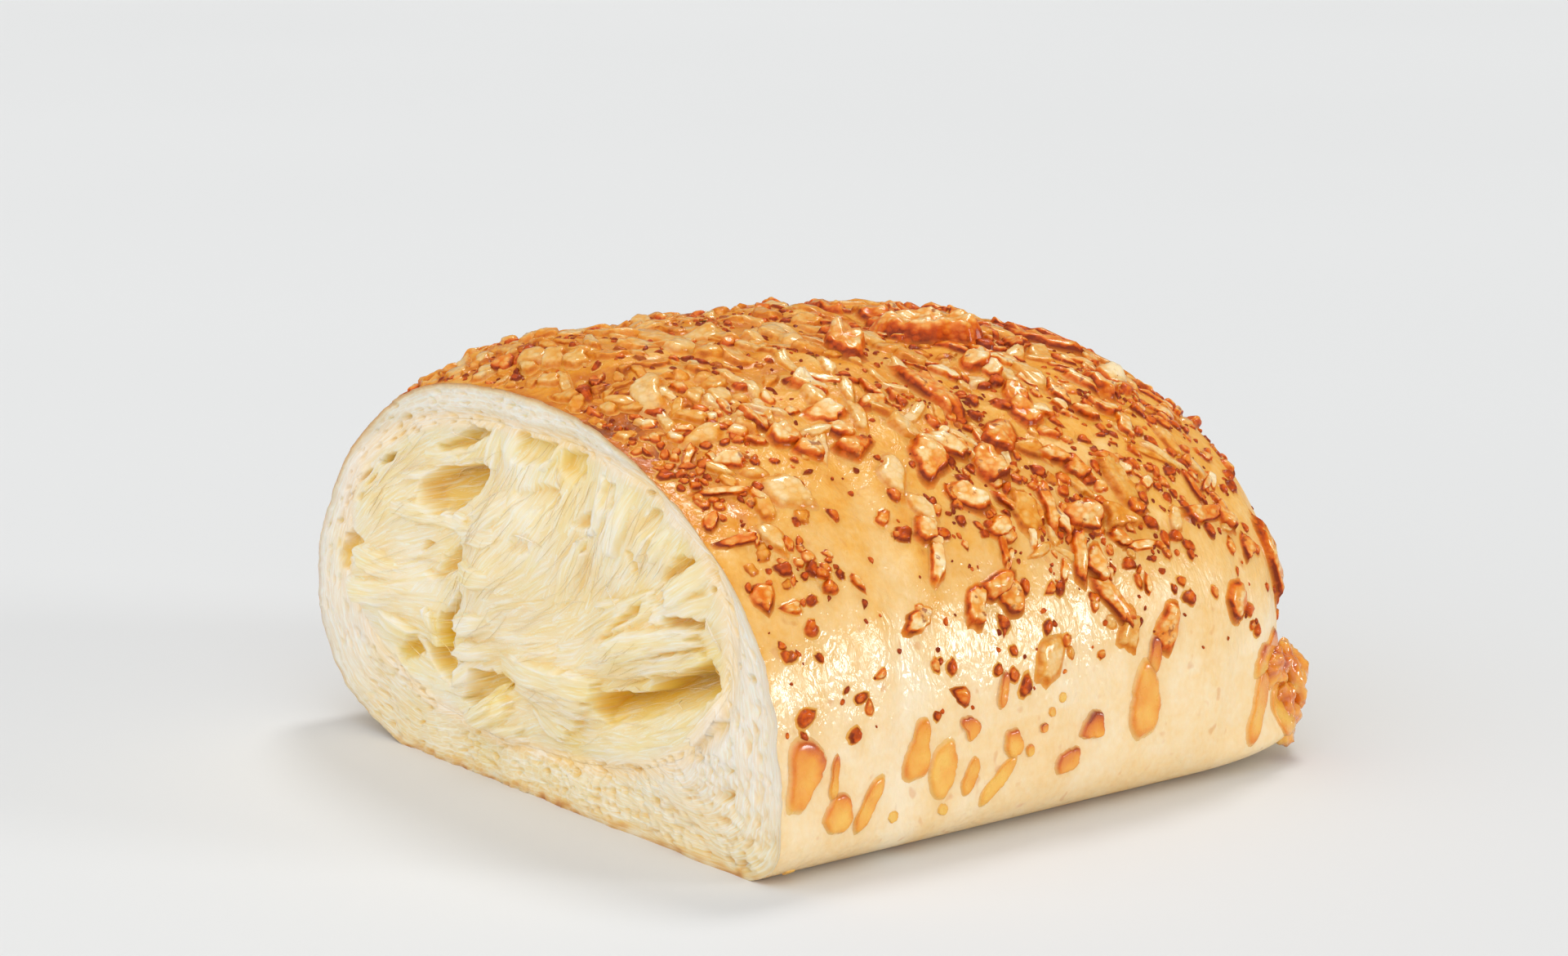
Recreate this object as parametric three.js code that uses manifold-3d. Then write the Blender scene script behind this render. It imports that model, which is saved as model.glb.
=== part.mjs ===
// Half of a cheese cachito: a filled bread roll with grated cheese baked on, cut across its middle and
// resting on its flat base. Millimetres, +Z up. The cut face looks along -Y, the rounded end of the roll
// is at +Y and X runs across. Two solids: the bread, which is the crust, the dense outer crumb and the
// cheese baked on it, and the pulled, stringy filling of crumb and melted cheese that runs through it.
import * as THREE from "three";
import { mergeVertices } from "three/addons/utils/BufferGeometryUtils.js";
import Module from "manifold-3d";

const wasm = await Module();
wasm.setup();

// Driving dimensions of the roll
const WIDTH = 83.6;
const LENGTH = 79.5; // without the lip at the far end
const CUT_HEIGHT = 42.2;
const CROWN_HEIGHT = 45.9;
const CROWN_RUN = 11; // the roll reaches its full height this far behind the cut
const BELT = { right: 11.5, left: 15, end: 14 }; // height of the widest line at the cut, and at the end
const STRAIGHT = 26; // the sides run straight this far before the end rounds in
const BASE_SINK = 1.5; // how far the underside would bulge if the tray had not flattened it
const RIDGE_SIDE = -7; // the ridge of the cut lies this far from the middle
const TIP_SIDE = 8.5; // the rolled tip lies this far towards +X

// How square each stretch of the outline is: 2 is an ellipse, more is squarer
const ROUNDNESS = {
  upRight: 2.15,
  upLeft: 1.95,
  downLeft: 2.4,
  downRight: 6,
  plan: 2.8,
  crown: 3.4,
  under: 5.5,
};

// The end of the dough strip, tucked under the far end as a lip that starts and reaches its full size at
// these places, with a crease above it that rises towards the tip
const LIP = { out: 3, starts: 52, full: 72, crease: 5, creaseRise: 4, riseStarts: 62, soft: 4 };

// Shallow seams left by rolling the dough: place behind the cut, lean along the roll, depth, half width
const SEAMS = [
  { y: 16, lean: 5, depth: 0.55, half: 2.2 },
  { y: 39, lean: 5, depth: 0.35, half: 2.6 },
  { y: 62, lean: 9, depth: 0.5, half: 2.4 },
];
const DOUGH = { swell: 0.35, across: 9, along: 11, upright: 8, clearOfBase: [1, 6] };

// The filling as the cut shows it: its middle, half sizes, squareness and depth into the roll
const FILLING = { x: -1.4, z: 21.6, halfWidth: 34.4, halfHeight: 16.8, roundness: 2.35, depth: 70 };
const FILLING_TAPER = { starts: 25, roundness: 2.6, most: 0.985 }; // it narrows with the roll
const FILLING_GAP = 0.3;
const FILLING_FACE_START = 2; // the straight side of the filling ends this far behind the cut
const TEAR = { deepest: -7.5, highest: 2.6, rough: 0.25, grain: 2.5, steepness: 2.5, levelRim: 0.18 };
const RIM = { rough: 0.4, grain: 4 };

// Tufts (rise above 0) and torn hollows (below 0) on the cut face of the filling: middle, half length and
// half width, tilt from the horizontal in degrees
const TEAR_FORMS = [
  { x: -27, z: 20, long: 11, wide: 9, tilt: 60, rise: -1.4 },
  { x: 3, z: 28, long: 17, wide: 8, tilt: 35, rise: 2.2 },
  { x: -7, z: 28, long: 8, wide: 4, tilt: 65, rise: 1.2 },
  { x: 14, z: 19.5, long: 14, wide: 3.6, tilt: 20, rise: 1.8 },
  { x: -2, z: 15.5, long: 9, wide: 4, tilt: 5, rise: 1.2 },
  { x: -7, z: 6.5, long: 4, wide: 2.6, tilt: 55, rise: 1.6 },
  { x: 31, z: 14, long: 5, wide: 2.4, tilt: 75, rise: 1.6 },
  { x: -13.5, z: 32, long: 5.6, wide: 2.1, tilt: 5, rise: -6.5 },
  { x: -15, z: 29, long: 5, wide: 2.8, tilt: 20, rise: -2.6 },
  { x: -13, z: 36, long: 5.5, wide: 1.5, tilt: 12, rise: -3 },
  { x: -28, z: 31.5, long: 3, wide: 1.4, tilt: 45, rise: -3.5 },
  { x: -33, z: 19.5, long: 4, wide: 2.6, tilt: 62, rise: -5 },
  { x: -16, z: 14.6, long: 5.8, wide: 2.5, tilt: 72, rise: -7.5 },
  { x: -23, z: 11.6, long: 4, wide: 1.9, tilt: 8, rise: -3.5 },
  { x: -8, z: 10, long: 4.8, wide: 2.2, tilt: 15, rise: -4.5 },
  { x: 20, z: 14.8, long: 11, wide: 2.3, tilt: 24, rise: -6 },
  { x: 28, z: 18, long: 3.5, wide: 2.2, tilt: 40, rise: -3 },
  { x: 10.5, z: 32, long: 2.2, wide: 1.5, tilt: 30, rise: -2.2 },
];

// Pieces of baked cheese that stand out, each by its place behind the cut, its angle round the roll and its
// turn from the roll's length, in degrees, then its length, width and height
const PLACED_CHEESE = [
  [47.2, 68, -38, 12.5, 7, 2.4],
  [33.9, 64, 75, 6, 4, 3.2],
  [22.5, 46, 82, 14, 3.2, 1.6],
  [29.2, 34, 70, 5, 4, 1.6],
  [24, 33, 60, 4.5, 2.6, 1.3],
  [39.6, 36, 35, 5.5, 3.2, 1.5],
  [62, 51, 60, 6, 3, 1.6],
  [24.4, 26, 70, 5.5, 2.3, 1.4],
  [28, 15, 20, 7, 2.4, 1.3],
  [31.3, 14, 60, 3.6, 3, 0.9],
  [19.1, 14, 30, 2.8, 2, 1],
  [2.6, 21, 20, 2.6, 2.2, 0.9],
  [34.7, 6, 60, 4.4, 2.8, 1],
  [45.6, 7, 80, 4, 2.2, 1.1],
  [50.7, 6.5, 75, 5, 2.2, 1.1],
  [61.7, 8, 80, 3.8, 3.2, 1],
  [60.2, 21, 5, 5.4, 1.6, 1],
  [66.1, 16, 70, 3.2, 1.4, 0.8],
  [47.2, -2, 90, 8, 4.2, 0.9],
  [48.6, 3.4, 75, 4.4, 1.3, 0.8],
  [2.9, -0.5, 90, 6, 3.8, 0.8],
  [7, -6, 60, 4, 3.4, 0.7],
  [10.5, -6, 70, 4.6, 2, 0.6],
  [17.6, -0.8, 85, 6.6, 2.8, 0.7],
  [20.4, -4.2, 88, 5.4, 3.2, 0.7],
  [23.7, 0, 75, 2.6, 2.2, 0.7],
  [29.3, -3, 80, 3, 2, 0.7],
  [36.9, -7, 20, 3.4, 2.4, 0.7],
  [40.3, -3.6, 60, 3.6, 2.8, 0.9],
  [28, 4, 88, 4.6, 1.2, 0.7],
];

// Pieces strewn at random, the largest first: how many, the least and greatest length, how wide and how
// tall against the length, and how many degrees they may turn from lying across the roll
const STREWN_CHEESE = [
  { count: 38, length: [6, 10], width: 0.3, height: 0.19, turn: 50 },
  { count: 38, length: [4, 6], width: 0.55, height: 0.3, turn: 80 },
  { count: 34, length: [2.4, 3.8], width: 0.72, height: 0.42, turn: 90 },
];
const STREWN_AREA = { y: [2, 72], degrees: [8, 168] };
const STREWN_SEED = 8123;
const STREWN_SPACE = 0.62; // least distance between two pieces against the sum of their half lengths
const CUT_MARGIN = 0.6; // pieces keep this clear of the cut
const CHEESE_SINK = 0.7; // how deep each piece reaches into the crust

// Where the grated cheese lies thick: over the ridge, all along, down to these angles from its middle
const RIDGE_COVER = { middle: 86, full: 40, none: 62, share: 0.7, thins: [60, 72], left: 0.25 };

// Further patches of it: a belt of small pieces on each flank, the rim of the cut, and the ridge beside it
const COVER_PATCHES = [
  { y: 45, along: 16, degrees: 26, round: 11, share: 1 },
  { y: 38, along: 18, degrees: 148, round: 12, share: 1 },
  { y: 2, along: 7, degrees: 31, round: 8, share: 0.8 },
  { y: 4, along: 9, degrees: 96, round: 34, share: 1 },
];
const BARE_SEAM = { y: 17, along: 6, share: 0.85, below: [34, 46] }; // little cheese stays on this seam

// The lump of cheese that ran down and browned on the corner of the far end: balls by middle and half sizes
const TIP_LUMP = [
  { at: [35.2, 73.6, 7.8], half: [2.9, 2.9, 4.0] },
  { at: [37.2, 71.2, 5.2], half: [2.4, 2.6, 3.8] },
  { at: [38.6, 68.2, 10.6], half: [1.5, 3.2, 2.4] },
];

const LUMP_ROUGH = { rise: 0.22, grain: 2.2 };

// Mesh fineness
const AROUND = 60;
const STATIONS = { straight: 7, end: 14, tip: 0.35 };
const RIM_RINGS = 3;
const POCKET_RINGS = 5;
const FILLING_RINGS = 14;
const OUTLINE_STEPS = 2880;
const NEAR = { along: 0.2, round: 0.01, tip: 0.4 }; // steps that measure the surface's slope
const TINY = 1e-6;

const DEGREES = Math.PI / 180;

function clamp01(t) {
  return Math.min(1, Math.max(0, t));
}

function smooth(from, to, value) {
  const t = clamp01((value - from) / (to - from));
  return t * t * (3 - 2 * t);
}

function bump(distance, half) {
  return Math.exp(-((distance / half) ** 2));
}

// A repeatable stream of numbers from 0 to 1.
function randomStream(seed) {
  let state = seed;
  return () => {
    state = (state * 16807) % 2147483647;
    return state / 2147483647;
  };
}

// A smooth wavy field, from about -1 to 1, for the unevenness of dough.
function wave(a, b, c) {
  return (
    0.5 * Math.sin(1.7 * a + 2.1 * Math.sin(0.9 * b + 0.7) + c) +
    0.3 * Math.sin(2.3 * b + 1.3 * Math.sin(1.1 * c + a) + 1.9) +
    0.2 * Math.sin(3.1 * c + 1.7 * Math.sin(1.9 * a + b) + 4.2)
  );
}

// How much of the full section is left where the end rounds in, from 1 down to 0 at the tip.
function endFade(y, roundness) {
  const t = clamp01((y - STRAIGHT) / (LENGTH - STRAIGHT));
  return Math.pow(Math.max(0, 1 - Math.pow(t, roundness)), 1 / roundness);
}

// A superellipse's radius at an angle.
function superRadius(angle, halfWidth, halfHeight, roundness) {
  const across = Math.pow(Math.abs(Math.cos(angle)) / halfWidth, roundness);
  const upright = Math.pow(Math.abs(Math.sin(angle)) / halfHeight, roundness);
  return Math.pow(across + upright, -1 / roundness);
}

// The roll without its lip and seams, at a place behind the cut and an angle round the section. Each quarter
// of the section is a quarter of a superellipse, cut off flat where it would pass below the tray.
function rollPoint(y, angle) {
  const right = Math.cos(angle) >= 0;
  const upper = Math.sin(angle) >= 0;
  const plan = Math.max(TINY, endFade(y, ROUNDNESS.plan));
  const beltAtCut = right ? BELT.right : BELT.left;
  const belt = beltAtCut + (BELT.end - beltAtCut) * clamp01(y / LENGTH);
  const crown = CUT_HEIGHT + (CROWN_HEIGHT - CUT_HEIGHT) * smooth(0, CROWN_RUN, y);
  const middle = RIDGE_SIDE * plan;
  const side = (WIDTH / 2) * plan + (right ? -middle : middle);
  const upright = upper
    ? (crown - belt) * endFade(y, ROUNDNESS.crown)
    : (belt + BASE_SINK) * endFade(y, ROUNDNESS.under);
  const roundness = upper
    ? (right ? ROUNDNESS.upRight : ROUNDNESS.upLeft)
    : (right ? ROUNDNESS.downRight : ROUNDNESS.downLeft);
  const radius = superRadius(angle, side, Math.max(TINY, upright), roundness);
  const tip = TIP_SIDE * smooth(STRAIGHT, LENGTH, y) ** 2;
  return new THREE.Vector3(
    tip + middle + radius * Math.cos(angle),
    y,
    Math.max(0, belt + radius * Math.sin(angle)),
  );
}

// The two directions in the surface, along the roll and round it, in millimetres for one step of each.
function surfaceSteps(y, angle) {
  const place = Math.min(y, LENGTH - NEAR.tip);
  const along = rollPoint(place + NEAR.along, angle).sub(rollPoint(place - NEAR.along, angle));
  const round = rollPoint(place, angle + NEAR.round).sub(rollPoint(place, angle - NEAR.round));
  along.divideScalar(2 * NEAR.along);
  round.divideScalar(2 * NEAR.round);
  const normal = along.clone().cross(round).normalize();
  return { along, round, normal };
}

// How far the seams and the swelling of the dough move the crust. The flat base stays flat.
function doughRelief(point, angle) {
  const lifted = smooth(...DOUGH.clearOfBase, point.z);
  let relief = DOUGH.swell * wave(point.x / DOUGH.across, point.y / DOUGH.along, point.z / DOUGH.upright);
  for (const seam of SEAMS) {
    relief -= seam.depth * bump(point.y - seam.y - seam.lean * Math.sin(angle), seam.half);
  }
  return relief * lifted;
}

function lipOut(point) {
  const crease = LIP.crease + LIP.creaseRise * smooth(LIP.riseStarts, LENGTH, point.y);
  const below = 1 - smooth(crease - LIP.soft, crease + 1, point.z);
  return LIP.out * smooth(LIP.starts, LIP.full, point.y) * below;
}

// A point of the crust, or one that stands a little off it.
function crustPoint(y, angle, height = 0) {
  const point = rollPoint(y, angle);
  const { normal } = surfaceSteps(y, angle);
  const level = new THREE.Vector3(normal.x, normal.y, 0);
  const moved = point.clone().addScaledVector(level, lipOut(point));
  return moved.addScaledVector(normal, doughRelief(point, angle) + height);
}

// Angles round the section that step evenly along its outline at the cut.
function evenAngles(count) {
  const step = (2 * Math.PI) / OUTLINE_STEPS;
  const walked = [0];
  for (let i = 1; i <= OUTLINE_STEPS; i += 1) {
    const from = rollPoint(0, (i - 1) * step);
    const to = rollPoint(0, i * step);
    walked.push(walked[i - 1] + from.distanceTo(to));
  }
  const angles = [];
  for (let i = 0, k = 0; i < count; i += 1) {
    while (walked[k] < (i / count) * walked[OUTLINE_STEPS]) k += 1;
    angles.push(k * step);
  }
  return angles;
}

// A closed body from a first point, rings of points and a last point.
function ringBody(first, rings, last) {
  const around = rings[0].length;
  const points = [first, ...rings.flat(), last];
  const faces = [];
  const at = (ring, i) => 1 + ring * around + (i % around);
  for (let i = 0; i < around; i += 1) {
    faces.push(0, at(0, i + 1), at(0, i));
    for (let ring = 0; ring + 1 < rings.length; ring += 1) {
      faces.push(at(ring, i), at(ring, i + 1), at(ring + 1, i));
      faces.push(at(ring, i + 1), at(ring + 1, i + 1), at(ring + 1, i));
    }
    faces.push(at(rings.length - 1, i), at(rings.length - 1, i + 1), points.length - 1);
  }
  const geometry = new THREE.BufferGeometry().setFromPoints(points);
  geometry.setIndex(faces);
  return geometry;
}

function toSolid(geometry) {
  const bare = geometry.clone();
  bare.deleteAttribute("normal");
  bare.deleteAttribute("uv");
  const merged = mergeVertices(bare, 1e-4);
  return new wasm.Manifold(
    new wasm.Mesh({
      numProp: 3,
      vertProperties: new Float32Array(merged.attributes.position.array),
      triVerts: new Uint32Array(merged.index.array),
    }),
  );
}

function toGeometry(solid) {
  const mesh = solid.getMesh();
  const geometry = new THREE.BufferGeometry();
  geometry.setAttribute("position", new THREE.Float32BufferAttribute(mesh.vertProperties, 3));
  geometry.setIndex(new THREE.Uint32BufferAttribute(mesh.triVerts, 1));
  return geometry;
}

// The outline of the filling, or of the pocket round it, at a place behind the cut.
function fillingPoint(y, angle, grow) {
  const t = clamp01((y - FILLING_TAPER.starts) / (FILLING.depth - FILLING_TAPER.starts));
  const cut = Math.pow(Math.min(t, FILLING_TAPER.most), FILLING_TAPER.roundness);
  const fade = Math.pow(1 - cut, 1 / FILLING_TAPER.roundness);
  const radius = superRadius(angle, FILLING.halfWidth * fade, FILLING.halfHeight * fade, FILLING.roundness);
  return new THREE.Vector3(
    FILLING.x + (radius + grow) * Math.cos(angle),
    y,
    FILLING.z + (radius + grow) * Math.sin(angle),
  );
}

// How far the cut face of the filling stands out, or is torn in, at a place on the cut.
function tearRise(x, z) {
  let rise = TEAR.rough * wave(x / TEAR.grain, z / TEAR.grain, 0);
  for (const form of TEAR_FORMS) {
    const offset = new THREE.Vector2(x - form.x, z - form.z);
    offset.rotateAround(new THREE.Vector2(), -form.tilt * DEGREES);
    const reach = Math.hypot(offset.x / form.long, offset.y / form.wide);
    rise += form.rise * Math.exp(-(reach ** TEAR.steepness));
  }
  return Math.min(TEAR.highest, Math.max(TEAR.deepest, rise));
}

// Where the rings of the filling and its pocket lie behind the cut, closer together towards the end.
function fillingStations() {
  const run = FILLING.depth - FILLING_TAPER.starts;
  return Array.from({ length: POCKET_RINGS }, (_, i) => {
    return FILLING_TAPER.starts + run * Math.sin((i / (POCKET_RINGS - 1)) * (Math.PI / 2));
  });
}

// Angles about the middle of the filling that point at each step of the crust's outline.
function fillingAngles() {
  return evenAngles(AROUND).map((angle) => {
    const edge = rollPoint(0, angle);
    return Math.atan2(edge.z - FILLING.z, edge.x - FILLING.x);
  });
}

function makeFilling() {
  const angles = fillingAngles();
  const ringAt = (y) => angles.map((angle) => fillingPoint(y, angle, 0));
  const rings = [...fillingStations().reverse(), FILLING_FACE_START].map(ringAt);
  const edge = ringAt(0);
  for (let ring = 0; ring < FILLING_RINGS; ring += 1) {
    const share = 1 - ring / FILLING_RINGS;
    rings.push(edge.map((point) => {
      const x = FILLING.x + (point.x - FILLING.x) * share;
      const z = FILLING.z + (point.z - FILLING.z) * share;
      const fromEdge = smooth(0, TEAR.levelRim, 1 - share);
      return new THREE.Vector3(x, -tearRise(x, z) * fromEdge, z);
    }));
  }
  const deep = new THREE.Vector3(FILLING.x, FILLING.depth, FILLING.z);
  const middle = new THREE.Vector3(FILLING.x, -tearRise(FILLING.x, FILLING.z), FILLING.z);
  return toSolid(ringBody(deep, rings, middle));
}

// The crust, the cut rim of dense crumb and the pocket that holds the filling, as one skin.
function makeLoaf() {
  const outline = evenAngles(AROUND);
  const places = [];
  for (let i = 0; i < STATIONS.end; i += 1) {
    const turn = ((i + STATIONS.tip) / STATIONS.end) * (Math.PI / 2);
    places.push(STRAIGHT + (LENGTH - STRAIGHT) * Math.pow(Math.cos(turn), 2 / ROUNDNESS.plan));
  }
  for (let i = STATIONS.straight - 1; i >= 0; i -= 1) {
    places.push((STRAIGHT * i) / STATIONS.straight);
  }
  const rings = places.map((y) => outline.map((angle) => crustPoint(y, angle)));
  rings.at(-1).forEach((point) => {
    point.y = 0;
  });
  const edge = rings.at(-1);
  const angles = fillingAngles();
  const mouth = angles.map((angle) => fillingPoint(0, angle, FILLING_GAP));
  for (let ring = 1; ring <= RIM_RINGS; ring += 1) {
    rings.push(edge.map((point, i) => {
      const between = point.clone().lerp(mouth[i], ring / (RIM_RINGS + 1));
      between.y = RIM.rough * wave(between.x / RIM.grain, between.z / RIM.grain, 2);
      return between;
    }));
  }
  rings.push(mouth);
  for (const y of fillingStations()) {
    rings.push(angles.map((angle) => fillingPoint(y, angle, FILLING_GAP)));
  }
  const deep = new THREE.Vector3(FILLING.x, FILLING.depth + FILLING_GAP, FILLING.z);
  return toSolid(ringBody(crustPoint(LENGTH, 0), rings, deep));
}

// A piece of baked cheese that follows the crust: a low body with a rounded top, uneven and sunk at its edge.
function cheesePiece([y, degrees, turn, length, width, height], random) {
  const broad = length * width > 24;
  const sides = broad ? 6 : 4;
  const ringCount = broad ? 4 : length > 4.5 ? 3 : 2;
  const angle = degrees * DEGREES;
  const { along, round } = surfaceSteps(y, angle);
  const onCrust = (lengthwise, sideways, up) => {
    const alongRoll = lengthwise * Math.cos(turn * DEGREES) - sideways * Math.sin(turn * DEGREES);
    const roundRoll = lengthwise * Math.sin(turn * DEGREES) + sideways * Math.cos(turn * DEGREES);
    return crustPoint(y + alongRoll / along.length(), angle + roundRoll / round.length(), up);
  };
  const rings = [];
  for (let ring = 0; ring < ringCount; ring += 1) {
    const t = (2 * (ring + 0.36)) / (ringCount - 0.28) - 1;
    const half = (width / 2) * Math.sqrt(1 - 0.5 * t * t) * (0.82 + 0.36 * random());
    const tall = height * (0.75 + 0.45 * random()) * (1 - 0.25 * t * t);
    const bend = 0.12 * width * (random() - 0.5);
    rings.push(Array.from({ length: sides }, (_, side) => {
      const sweep = (Math.PI * side) / (sides - 1);
      const bottom = side === 0 || side === sides - 1;
      const up = bottom ? -CHEESE_SINK : tall * Math.pow(Math.sin(sweep), 0.6) * (0.85 + 0.3 * random());
      return onCrust((t * length) / 2, bend + half * Math.cos(sweep), up);
    }));
  }
  const end = (sign) => onCrust((sign * length) / 2, 0, 0.15 * height);
  return toSolid(ringBody(end(-1), rings, end(1)));
}

// How thickly the grated cheese lies at a place on the crust, from 0 to 1.
function cheeseCover(y, degrees) {
  const fromRidge = Math.abs(degrees - RIDGE_COVER.middle);
  const ridge = RIDGE_COVER.share * (1 - smooth(RIDGE_COVER.full, RIDGE_COVER.none, fromRidge));
  const end = 1 - (1 - RIDGE_COVER.left) * smooth(...RIDGE_COVER.thins, y);
  const patches = COVER_PATCHES.map((patch) => {
    return patch.share * bump(y - patch.y, patch.along) * bump(degrees - patch.degrees, patch.round);
  });
  const low = 1 - smooth(...BARE_SEAM.below, degrees);
  const bare = 1 - BARE_SEAM.share * bump(y - BARE_SEAM.y, BARE_SEAM.along) * low;
  return Math.max(ridge * end, ...patches) * bare;
}

function strewnCheese() {
  const random = randomStream(STREWN_SEED);
  const between = ([least, most]) => least + random() * (most - least);
  const taken = PLACED_CHEESE.map(([y, degrees, , length]) => ({
    at: rollPoint(y, degrees * DEGREES),
    reach: length / 2,
  }));
  const pieces = [];
  for (const kind of STREWN_CHEESE) {
    let left = kind.count;
    for (let tries = 0; left > 0 && tries < 6000; tries += 1) {
      const y = between(STREWN_AREA.y);
      const degrees = between(STREWN_AREA.degrees);
      const length = between(kind.length);
      const turn = 90 + between([-kind.turn, kind.turn]);
      const keep = random() < cheeseCover(y, degrees);
      const at = rollPoint(y, degrees * DEGREES);
      const inside = y - length / 2 > CUT_MARGIN;
      const free = taken.every((other) => {
        return other.at.distanceTo(at) > STREWN_SPACE * (other.reach + length / 2);
      });
      if (keep && inside && free) {
        taken.push({ at, reach: length / 2 });
        pieces.push([y, degrees, turn, length, kind.width * length, kind.height * length]);
        left -= 1;
      }
    }
  }
  return pieces;
}

// A ball of the browned lump.
function tipLump({ at, half }) {
  const ball = new THREE.IcosahedronGeometry(1, 1);
  const place = ball.attributes.position;
  for (let i = 0; i < place.count; i += 1) {
    const point = new THREE.Vector3().fromBufferAttribute(place, i);
    const grain = point.clone().multiplyScalar(LUMP_ROUGH.grain);
    point.multiplyScalar(1 + LUMP_ROUGH.rise * wave(grain.x + at[0], grain.y, grain.z));
    place.setXYZ(i, at[0] + point.x * half[0], at[1] + point.y * half[1], at[2] + point.z * half[2]);
  }
  return toSolid(ball);
}

function makeBread() {
  const random = randomStream(STREWN_SEED + 1);
  let bread = makeLoaf();
  for (const lump of TIP_LUMP) {
    bread = bread.add(tipLump(lump));
  }
  for (const piece of [...PLACED_CHEESE, ...strewnCheese()]) {
    bread = bread.add(cheesePiece(piece, random));
  }
  return bread;
}

function named(name, solid, color, roughness) {
  const material = new THREE.MeshStandardMaterial({ color, roughness, metalness: 0 });
  const mesh = new THREE.Mesh(toGeometry(solid), material);
  mesh.name = name;
  return mesh;
}

const roll = new THREE.Group();
roll.add(named("bread", makeBread(), 0xe9b063, 0.45));
roll.add(named("cheese_filling", makeFilling(), 0xf3e3a8, 0.6));

// The origin is the middle of the bounding box, on the tray.
const middle = new THREE.Box3().setFromObject(roll).getCenter(new THREE.Vector3());
roll.position.set(-middle.x, -middle.y, 0);

export default roll;
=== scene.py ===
import math

import bmesh
import bpy
import numpy as np
from mathutils import Matrix, Vector


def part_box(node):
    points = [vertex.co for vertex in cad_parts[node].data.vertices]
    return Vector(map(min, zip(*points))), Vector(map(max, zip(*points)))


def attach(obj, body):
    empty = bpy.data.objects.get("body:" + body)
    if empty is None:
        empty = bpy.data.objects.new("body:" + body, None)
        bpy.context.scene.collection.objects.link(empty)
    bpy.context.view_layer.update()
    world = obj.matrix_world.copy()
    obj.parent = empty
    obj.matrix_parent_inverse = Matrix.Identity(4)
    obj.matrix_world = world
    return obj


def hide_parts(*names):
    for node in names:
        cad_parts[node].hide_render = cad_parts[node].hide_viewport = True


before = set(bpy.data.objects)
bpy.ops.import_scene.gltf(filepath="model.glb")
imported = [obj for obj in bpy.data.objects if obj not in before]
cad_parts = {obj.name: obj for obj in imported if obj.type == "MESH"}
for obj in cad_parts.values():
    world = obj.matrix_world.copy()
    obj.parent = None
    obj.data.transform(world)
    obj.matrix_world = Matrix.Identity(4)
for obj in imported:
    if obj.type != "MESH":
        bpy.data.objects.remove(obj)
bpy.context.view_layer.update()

# The roll, by the same measures as the solids. The belt is the height of its widest place; behind the
# straight run, plan, crown and underside close as superellipses with the exponents in ROUNDNESS
WIDTH = 83.6
LENGTH = 79.5
CUT_HEIGHT = 42.2
CROWN_HEIGHT = 45.9
CROWN_RUN = 11
BELT = {"right": 11.5, "left": 15, "end": 14}
STRAIGHT = 26
BASE_SINK = 1.5
RIDGE_SIDE = -7
TIP_SIDE = 8.5
ROUNDNESS = {"up_right": 2.15, "up_left": 1.95, "down_left": 2.4, "down_right": 6,
             "plan": 2.8, "crown": 3.4, "under": 5.5}
# The dough lip tucked under the far end: how far out, where it starts and is full, and the crease above it
LIP = {"out": 3, "starts": 52, "full": 72, "crease": 5, "rise": 4, "rise_starts": 62, "soft": 4}
SEAMS = [(16, 5, 0.55, 2.2), (39, 5, 0.35, 2.6), (62, 9, 0.5, 2.4)]  # place, lean, depth, half width
# The uneven swell of the dough, and the heights between which it fades in above the base
DOUGH = {"swell": 0.35, "across": 9, "along": 11, "upright": 8, "clear_of_base": (1, 6)}
# Steps for slopes, along in millimetres and round it in radians, and how far they stay from the tip
NEAR = {"along": 0.2, "round": 0.01, "tip": 0.4}
TINY = 1e-6
# The ragged edge of the crust at the cut: reach in millimetres, how fine its waves are, seed
CUT_EDGE = [(0.22, 18, 3), (0.1, 54, 4)]
# Fibres that are laid one by one start their noise between 0 and this
SEED_SPAN = 90

# The filling: its middle, half sizes and depth, how it tapers behind the cut, the rings of its side, and how
# deep in shade that side is
FILLING = {"x": -1.4, "z": 21.6, "half_width": 34.4, "half_height": 16.8, "roundness": 2.35, "depth": 70}
TAPER = {"starts": 25, "roundness": 2.6, "most": 0.985}
FILLING_FACE_START = 2
FILLING_RINGS = 5
FILLING_SIDE_DEEP = 0.2
# The torn cut: how it falls below the rim towards the right, how its lumps stand out and its hollows deepen,
# and how deep it may lie near the rim
TEAR = {"below_rim": 1.0, "falls": (-34, 2), "slant": 0.9, "middle": 20, "swell": 0.3, "swell_size": 4,
        "lump_rise": 1.2, "lump_edge": 2.5, "hollow_slope": 1.4, "deepest": -8.5, "highest": 2.6,
        "edge_depth": 1.6, "edge_slope": 1.6}
# How ragged the hollows' edges are: reach and size of a wander, and its seeds across and upright
RAGGED = [(0.34, 0.9, 11, 21), (0.5, 3, 12, 22)]
# Where core turns into rim, by share of the filling: reach, size and seed of the line's wander, then the
# shares between which the relief, the hollows and the colour fade, and where the fibres end
CORE_EDGE = {"wander": [(0.022, 2.4, 13), (0.012, 0.8, 14)], "relief": (0.995, 0.95), "hollows": (1.1, 1.0),
             "colour": (1.05, 0.89), "fibres": 0.985}
# The dense crumb of the rim: the ellipse that its fibres run round, their layers and run, its relief, where
# it fades towards the crust, and how its inner edge tucks under the core
RIM = {"axes": (32, 26), "layer": 0.4, "run": 3.2, "ridge": 0.06, "swell": 0.35, "swell_size": 4,
       "grain": 0.1, "grain_size": 1.6, "to_crust": (0, 1.4), "edge_share": 0.4, "tuck": 0.985,
       "tuck_depth": 0.9, "apart": 40}

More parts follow.
